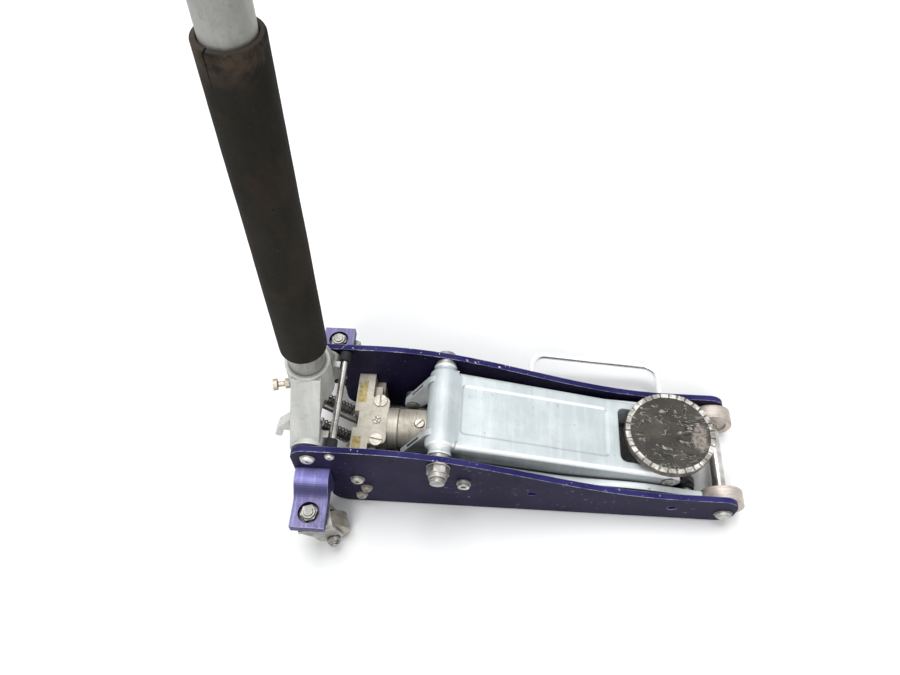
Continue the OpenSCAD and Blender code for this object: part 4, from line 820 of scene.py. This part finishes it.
def foam_sleeve(material):
    """Foam tube, slightly lumpy, its upper rim rounded by use and split a little way down."""
    low, high = handle_axis()
    length = (high - low).length
    upright = (high - low).normalized().to_track_quat("Z", "Y").to_matrix()
    around = 144
    along = 190
    outer = 24.05 * MM
    inner = 19.1 * MM
    ease = 2.2 * MM
    split_at = 61
    split_rows = 14
    split_depth = 26 * MM
    gape_at_rim = 0.9
    closing = 0.75
    lump_length = 12
    work = bmesh.new()
    grid = {}

    def spot(wall, row, column):
        """Place of a spot on a wall: the split's two sides stand apart, most at the rim."""
        height = length * (row / along)
        from_top = length - height
        angle = 2 * math.pi * column / around
        if column in (split_at, split_at + 1) and from_top < split_depth:
            gape = (gape_at_rim - closing * from_top / split_depth) * MM / outer
            angle = 2 * math.pi * (split_at + 0.5) / around + (gape if column > split_at else -gape)
        end_near = min(height, from_top)
        rounding = 0.0
        if end_near < ease:
            rounding = ease - math.sqrt(ease * ease - (ease - end_near) ** 2)
        at = Vector((math.cos(angle), math.sin(angle), height * lump_length))
        broad = noise.noise(at * 1.6) * 0.22 * MM
        fine = noise.noise(at * 5.0) * 0.10 * MM
        uneven = noise.noise(at * 3.1) * 0.5 * MM
        radius = outer + (broad + fine) - rounding if wall == "outer" else inner + rounding * 0.4
        if row in (0, along):
            height += uneven
        return low + upright @ Vector((radius * math.cos(angle), radius * math.sin(angle), height))

    def cut_away(row, column):
        """Whether a face is left out for the split."""
        return column == split_at and row >= along - split_rows

    def add_face(*corners, turned=False):
        """A face through spots of the grid, each named by its wall, row and column."""
        spots = [grid[corner] for corner in corners]
        work.faces.new(spots[::-1] if turned else spots)

    for wall in ("outer", "inner"):
        for row in range(along + 1):
            for column in range(around):
                grid[wall, row, column] = work.verts.new(spot(wall, row, column))
    for row in range(along):
        for column in range(around):
            if cut_away(row, column):
                continue
            after = (column + 1) % around
            for wall in ("outer", "inner"):
                add_face((wall, row, column), (wall, row, after), (wall, row + 1, after),
                         (wall, row + 1, column), turned=wall == "inner")
            if row == 0:
                add_face(("inner", 0, column), ("inner", 0, after), ("outer", 0, after),
                         ("outer", 0, column))
            if row == along - 1:
                add_face(("outer", along, column), ("outer", along, after), ("inner", along, after),
                         ("inner", along, column))
            for gap, edge in ((column - 1, column), (after, after)):
                if cut_away(row, gap):
                    add_face(("outer", row, edge), ("outer", row + 1, edge), ("inner", row + 1, edge),
                             ("inner", row, edge), turned=edge != column)
    root = along - split_rows
    add_face(("outer", root, split_at), ("outer", root, split_at + 1), ("inner", root, split_at + 1),
             ("inner", root, split_at))
    bmesh.ops.recalc_face_normals(work, faces=work.faces)
    name = "grip_foam_sleeve"
    piece = as_piece(name, as_mesh(name, work, material), "handle", crease=50)
    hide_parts("foam_sleeve")


# ---- Pieces made with node trees ----

def coil_mesh(name, turns, radius, wire, length, material):
    """Wire wound along +Z from the origin."""
    steps_a_turn = 28
    wire_sides = 10
    shaper = Shaper(name, Turns=turns, Radius=radius, Wire=wire, Length=length)
    path = shaper.add("GeometryNodeCurveSpiral", inputs={
        "Resolution": steps_a_turn, "Rotations": shaper.size("Turns"), "Height": shaper.size("Length"),
        "Start Radius": shaper.size("Radius"), "End Radius": shaper.size("Radius")})
    section = shaper.add("GeometryNodeCurvePrimitiveCircle", inputs={
        "Resolution": wire_sides, "Radius": shaper.size("Wire")})
    tube = shaper.add("GeometryNodeCurveToMesh", inputs={
        "Curve": path, "Profile Curve": section, "Fill Caps": True})
    return shaper.build(tube, material)


def spring_direction(spots, centre):
    """+X for a spring that lies level, or halfway between +X and up or down for one that leans."""
    slant = sum((spot.x - centre.x) * (spot.z - centre.z) for spot in spots) / len(spots)
    leaning = 2 * MM ** 2
    if abs(slant) > leaning:
        return Vector((1, 0, math.copysign(1, slant))).normalized()
    return Vector((1, 0, 0))


def coil_springs(name, node, turns, material):
    """Smooth coils in the place of a node's two equal springs."""
    wire = 0.9 * MM
    work = bmesh.new()
    for low, high in solids(node):
        spots = [vertex.co for vertex in NODES[node].data.vertices
                 if all(low[axis] - TOUCHING <= vertex.co[axis] <= high[axis] + TOUCHING
                        for axis in range(3))]
        centre = (low + high) / 2
        heading = spring_direction(spots, centre)
        reach = max(abs((spot - centre).dot(heading)) for spot in spots)
        radius = (high.y - low.y) / 2 - wire
        coil = coil_mesh(name, turns, radius, wire, 2 * (reach - wire), material)
        coil.transform(Matrix.Translation(centre - heading * (reach - wire))
                       @ heading.to_track_quat("Z", "Y").to_matrix().to_4x4())
        work.from_mesh(coil)
        centre - heading * reach
        centre + heading * reach
    piece = link(bpy.data.objects.new(name, as_mesh(name, work, material)))
    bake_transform(piece)
    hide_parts(node)


def rim_mesh(name, radius, material):
    """A ring of worn blocks, each a little out of line with the next."""
    shaper = Shaper(name, Radius=radius, Count=31, Depth=6.0 * MM, Height=2.4 * MM, Gap=0.7 * MM)
    ring = shaper.add("GeometryNodeMeshCircle", inputs={
        "Vertices": shaper.size("Count"), "Radius": shaper.size("Radius")})
    pitch = 2 * math.pi / shaper.size("Count")
    width = pitch * shaper.size("Radius") - shaper.size("Gap")
    size = shaper.add("ShaderNodeCombineXYZ", inputs={
        0: shaper.size("Depth"), 1: width, 2: shaper.size("Height")})
    block = shaper.add("GeometryNodeMeshCube", inputs={
        "Size": size, "Vertices X": 5, "Vertices Y": 9, "Vertices Z": 3})
    askew = 0.035
    drift = shaper.add("FunctionNodeRandomValue", {"data_type": "FLOAT"}, {2: -askew, 3: askew, "Seed": 7},
                       out=1)
    heading = shaper.add("GeometryNodeInputIndex") * pitch + drift
    turn = shaper.add("ShaderNodeCombineXYZ", inputs={2: heading})
    wear = shaper.add("FunctionNodeRandomValue", {"data_type": "FLOAT_VECTOR"},
                      {0: (0.8, 0.76, 0.6), 1: (1.05, 1.08, 1.05), "Seed": 3})
    blocks = shaper.add("GeometryNodeInstanceOnPoints", inputs={
        "Points": ring, "Instance": block, "Rotation": turn, "Scale": wear})
    solid = shaper.add("GeometryNodeRealizeInstances", inputs={0: blocks})
    rough = shaper.add("ShaderNodeTexNoise", inputs={"Scale": 160.0, "Detail": 3.0}, out=1)
    centred = shaper.add("ShaderNodeVectorMath", {"operation": "SUBTRACT"}, {0: rough, 1: (0.5, 0.5, 0.5)})
    push = shaper.add("ShaderNodeVectorMath", {"operation": "SCALE"}, {0: centred, "Scale": 1.3 * MM})
    dented = shaper.add("GeometryNodeSetPosition", inputs={"Geometry": solid, "Offset": push})
    return shaper.build(dented, material)


def saddle_rim(material):
    """Blocks on the saddle's rim, between its pad and its outer edge."""
    name = "saddle_rim_blocks"
    low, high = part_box("saddle_cup")
    pad_low, pad_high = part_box("saddle_pad")
    outer = (high.x - low.x) / 2
    inner = (pad_high.x - pad_low.x) / 2
    inset = 0.4 * MM
    sunk = 0.1 * MM
    mesh = rim_mesh(name, (outer + inner) / 2 - inset, material)
    middle = Vector(((low.x + high.x) / 2, (low.y + high.y) / 2, high.z - sunk))
    mesh.transform(Matrix.Translation(middle))
    work = bmesh.new()
    work.from_mesh(mesh)
    bmesh.ops.recalc_face_normals(work, faces=work.faces)
    as_piece(name, as_mesh(name, work, material), "saddle", crease=40)


# ---- The whole jack ----

def finish_nodes(material, *names):
    """Gives CAD nodes their material."""
    for name in names:
        mesh = NODES[name].data
        mesh.materials.clear()
        mesh.materials.append(material)


make_camera()
make_lamp("overhead", (-0.3, 0.6, 3.5), spread=34, strength=2.1)
make_lamp("fill", (-0.4, -2.8, 2.6), spread=30, strength=1.3)
make_world()
make_floor()

ZINC = zinc_plating("zinc_plating", base=paint(138, 135, 131), dark=paint(78, 72, 64),
                    light=paint(188, 186, 182))
DOME = zinc_plating("dome_zinc", base=paint(172, 170, 166), dark=paint(74, 68, 62),
                    light=paint(226, 225, 222))
RUSTY = zinc_plating("rusting_zinc", base=paint(164, 160, 154), dark=paint(90, 82, 74),
                     light=paint(214, 212, 208), rust_below=52 * MM)
PLUG = zinc_plating("plug_zinc", base=paint(176, 170, 158), dark=paint(88, 78, 64),
                    light=paint(204, 199, 189))
STAINED = zinc_plating("stained_zinc", base=paint(160, 148, 128), dark=paint(92, 76, 56),
                       light=paint(206, 200, 188))
BRIGHT = turned_steel("bright_steel", base=paint(150, 149, 146), light=paint(196, 195, 192),
                      dark=paint(70, 66, 60), rough=0.26, metal=0.9, axis=ALONG_Y, grime=0.3)
RESERVOIR = turned_steel("reservoir_steel", base=paint(176, 169, 156), light=paint(208, 202, 190),
                         dark=paint(116, 105, 88), rough=0.42, metal=0.4, axis=ALONG_X, grime=0.35)
SPRING = turned_steel("spring_steel", base=paint(84, 80, 75), light=paint(122, 117, 110),
                      dark=paint(40, 37, 34), rough=0.36, metal=0.8, axis=ALONG_X, grime=0.4)
POLISHED = turned_steel("polished_rod", base=paint(168, 165, 160), light=paint(222, 220, 216),
                        dark=paint(96, 88, 80), rough=0.2, metal=0.9, axis=ALONG_Y, grime=0.25)
ARM = silver_casting("arm_casting", base=paint(186, 194, 196), light=paint(207, 215, 217),
                     stain=paint(128, 130, 128), wear=0.35, grain=0.8, shoulder_highlight=0.9)
LINK = silver_casting("link_paint", base=paint(214, 218, 220), light=paint(232, 236, 238),
                      stain=paint(150, 150, 148), wear=0.5, grain=0.8)
SOCKET = silver_casting("socket_casting", base=paint(184, 185, 180), light=paint(205, 205, 200),
                        stain=paint(122, 118, 110), wear=0.9, grain=1.2)
FRONT_WHEEL = worn_wheel("front_wheel_steel", base=paint(176, 166, 158), light=paint(208, 198, 190),
                         stain=paint(138, 121, 113))
CASTER_WHEEL = worn_wheel("caster_wheel_steel", base=paint(142, 137, 126), light=paint(184, 179, 167),
                          stain=paint(92, 84, 70))
CUP = saddle_metal("saddle_cup_metal", base=paint(84, 78, 71), light=paint(126, 119, 110))
RIM = saddle_metal("saddle_rim_metal", base=paint(142, 139, 132), light=paint(212, 210, 205))
SLEEVE = moulded_rubber("sleeve_rubber", base=paint(24, 24, 27), light=paint(52, 52, 56))
CAP = moulded_rubber("cap_rubber", base=paint(26, 26, 27), light=paint(54, 53, 52))

finish_nodes(plate_enamel(), "side_plate_near", "side_plate_far")
finish_nodes(bracket_enamel(), "caster_bracket_near", "caster_bracket_far")
finish_nodes(ARM, "lift_arm")
finish_nodes(LINK, "link_near", "link_far")
finish_nodes(SOCKET, "handle_socket", "crosshead")
finish_nodes(block_casting(), "pump_block")
finish_nodes(RESERVOIR, "reservoir", "reservoir_head", "ram_cylinder")
finish_nodes(DOME, "tie_rod_screws", "link_pivot_bolts", "socket_screws", "link_pins", "fork_pins")
finish_nodes(ZINC, "arm_pivot_bolt", "arm_pivot_nut", "carry_handle_screws", "front_axle_nuts",
             "caster_axle_near", "caster_axle_far", "caster_fork_near", "caster_fork_far",
             "bracket_screws", "pivot_washers", "ear_pins")
finish_nodes(PLUG, "block_plugs", "filler_plug")
finish_nodes(STAINED, "retaining_bolt")
finish_nodes(SPRING, "return_springs", "plunger_springs")
finish_nodes(POLISHED, "tie_rod", "front_axle", "axle_spacer")
finish_nodes(BRIGHT, "ram_links", "pump_plungers", "pump_rollers", "roller_shaft", "release_shaft",
             "release_cup", "snap_button")
finish_nodes(dark_casting(), "saddle_bracket")
finish_nodes(SLEEVE, "tie_rod_sleeves")
finish_nodes(CAP, "end_cap")
finish_nodes(chrome(), "carry_handle", "ram")
finish_nodes(bronze(), "arm_bushes")
finish_nodes(tube_steel(), "lower_tube", "upper_tube")
finish_nodes(pad_rubber(), "saddle_pad")
finish_nodes(CUP, "saddle_cup")
finish_nodes(FRONT_WHEEL, "front_wheel_near", "front_wheel_far")
finish_nodes(CASTER_WHEEL, "caster_wheel_near", "caster_wheel_far")

foam_sleeve(grip_foam())
coil_springs("return_coils", "return_springs", 14, SPRING)
coil_springs("plunger_coils", "plunger_springs", 8, SPRING)
saddle_rim(RIM)
button_heads("unit_screw_heads", "power_unit_screws", RUSTY)
button_heads("tie_rod_screw_heads", "tie_rod_screws", DOME)
button_heads("socket_screw_heads", "socket_screws", DOME, recess=0.42)
button_heads("axle_bolt_heads", "front_axle_nuts", ZINC, recess=0.68)
locking_nuts("pivot_locking_nut", "arm_pivot_nut", ZINC, across=22 * MM, washer_radius=13 * MM, turn=0.35)

bpy.context.scene.view_settings.view_transform = "Standard"
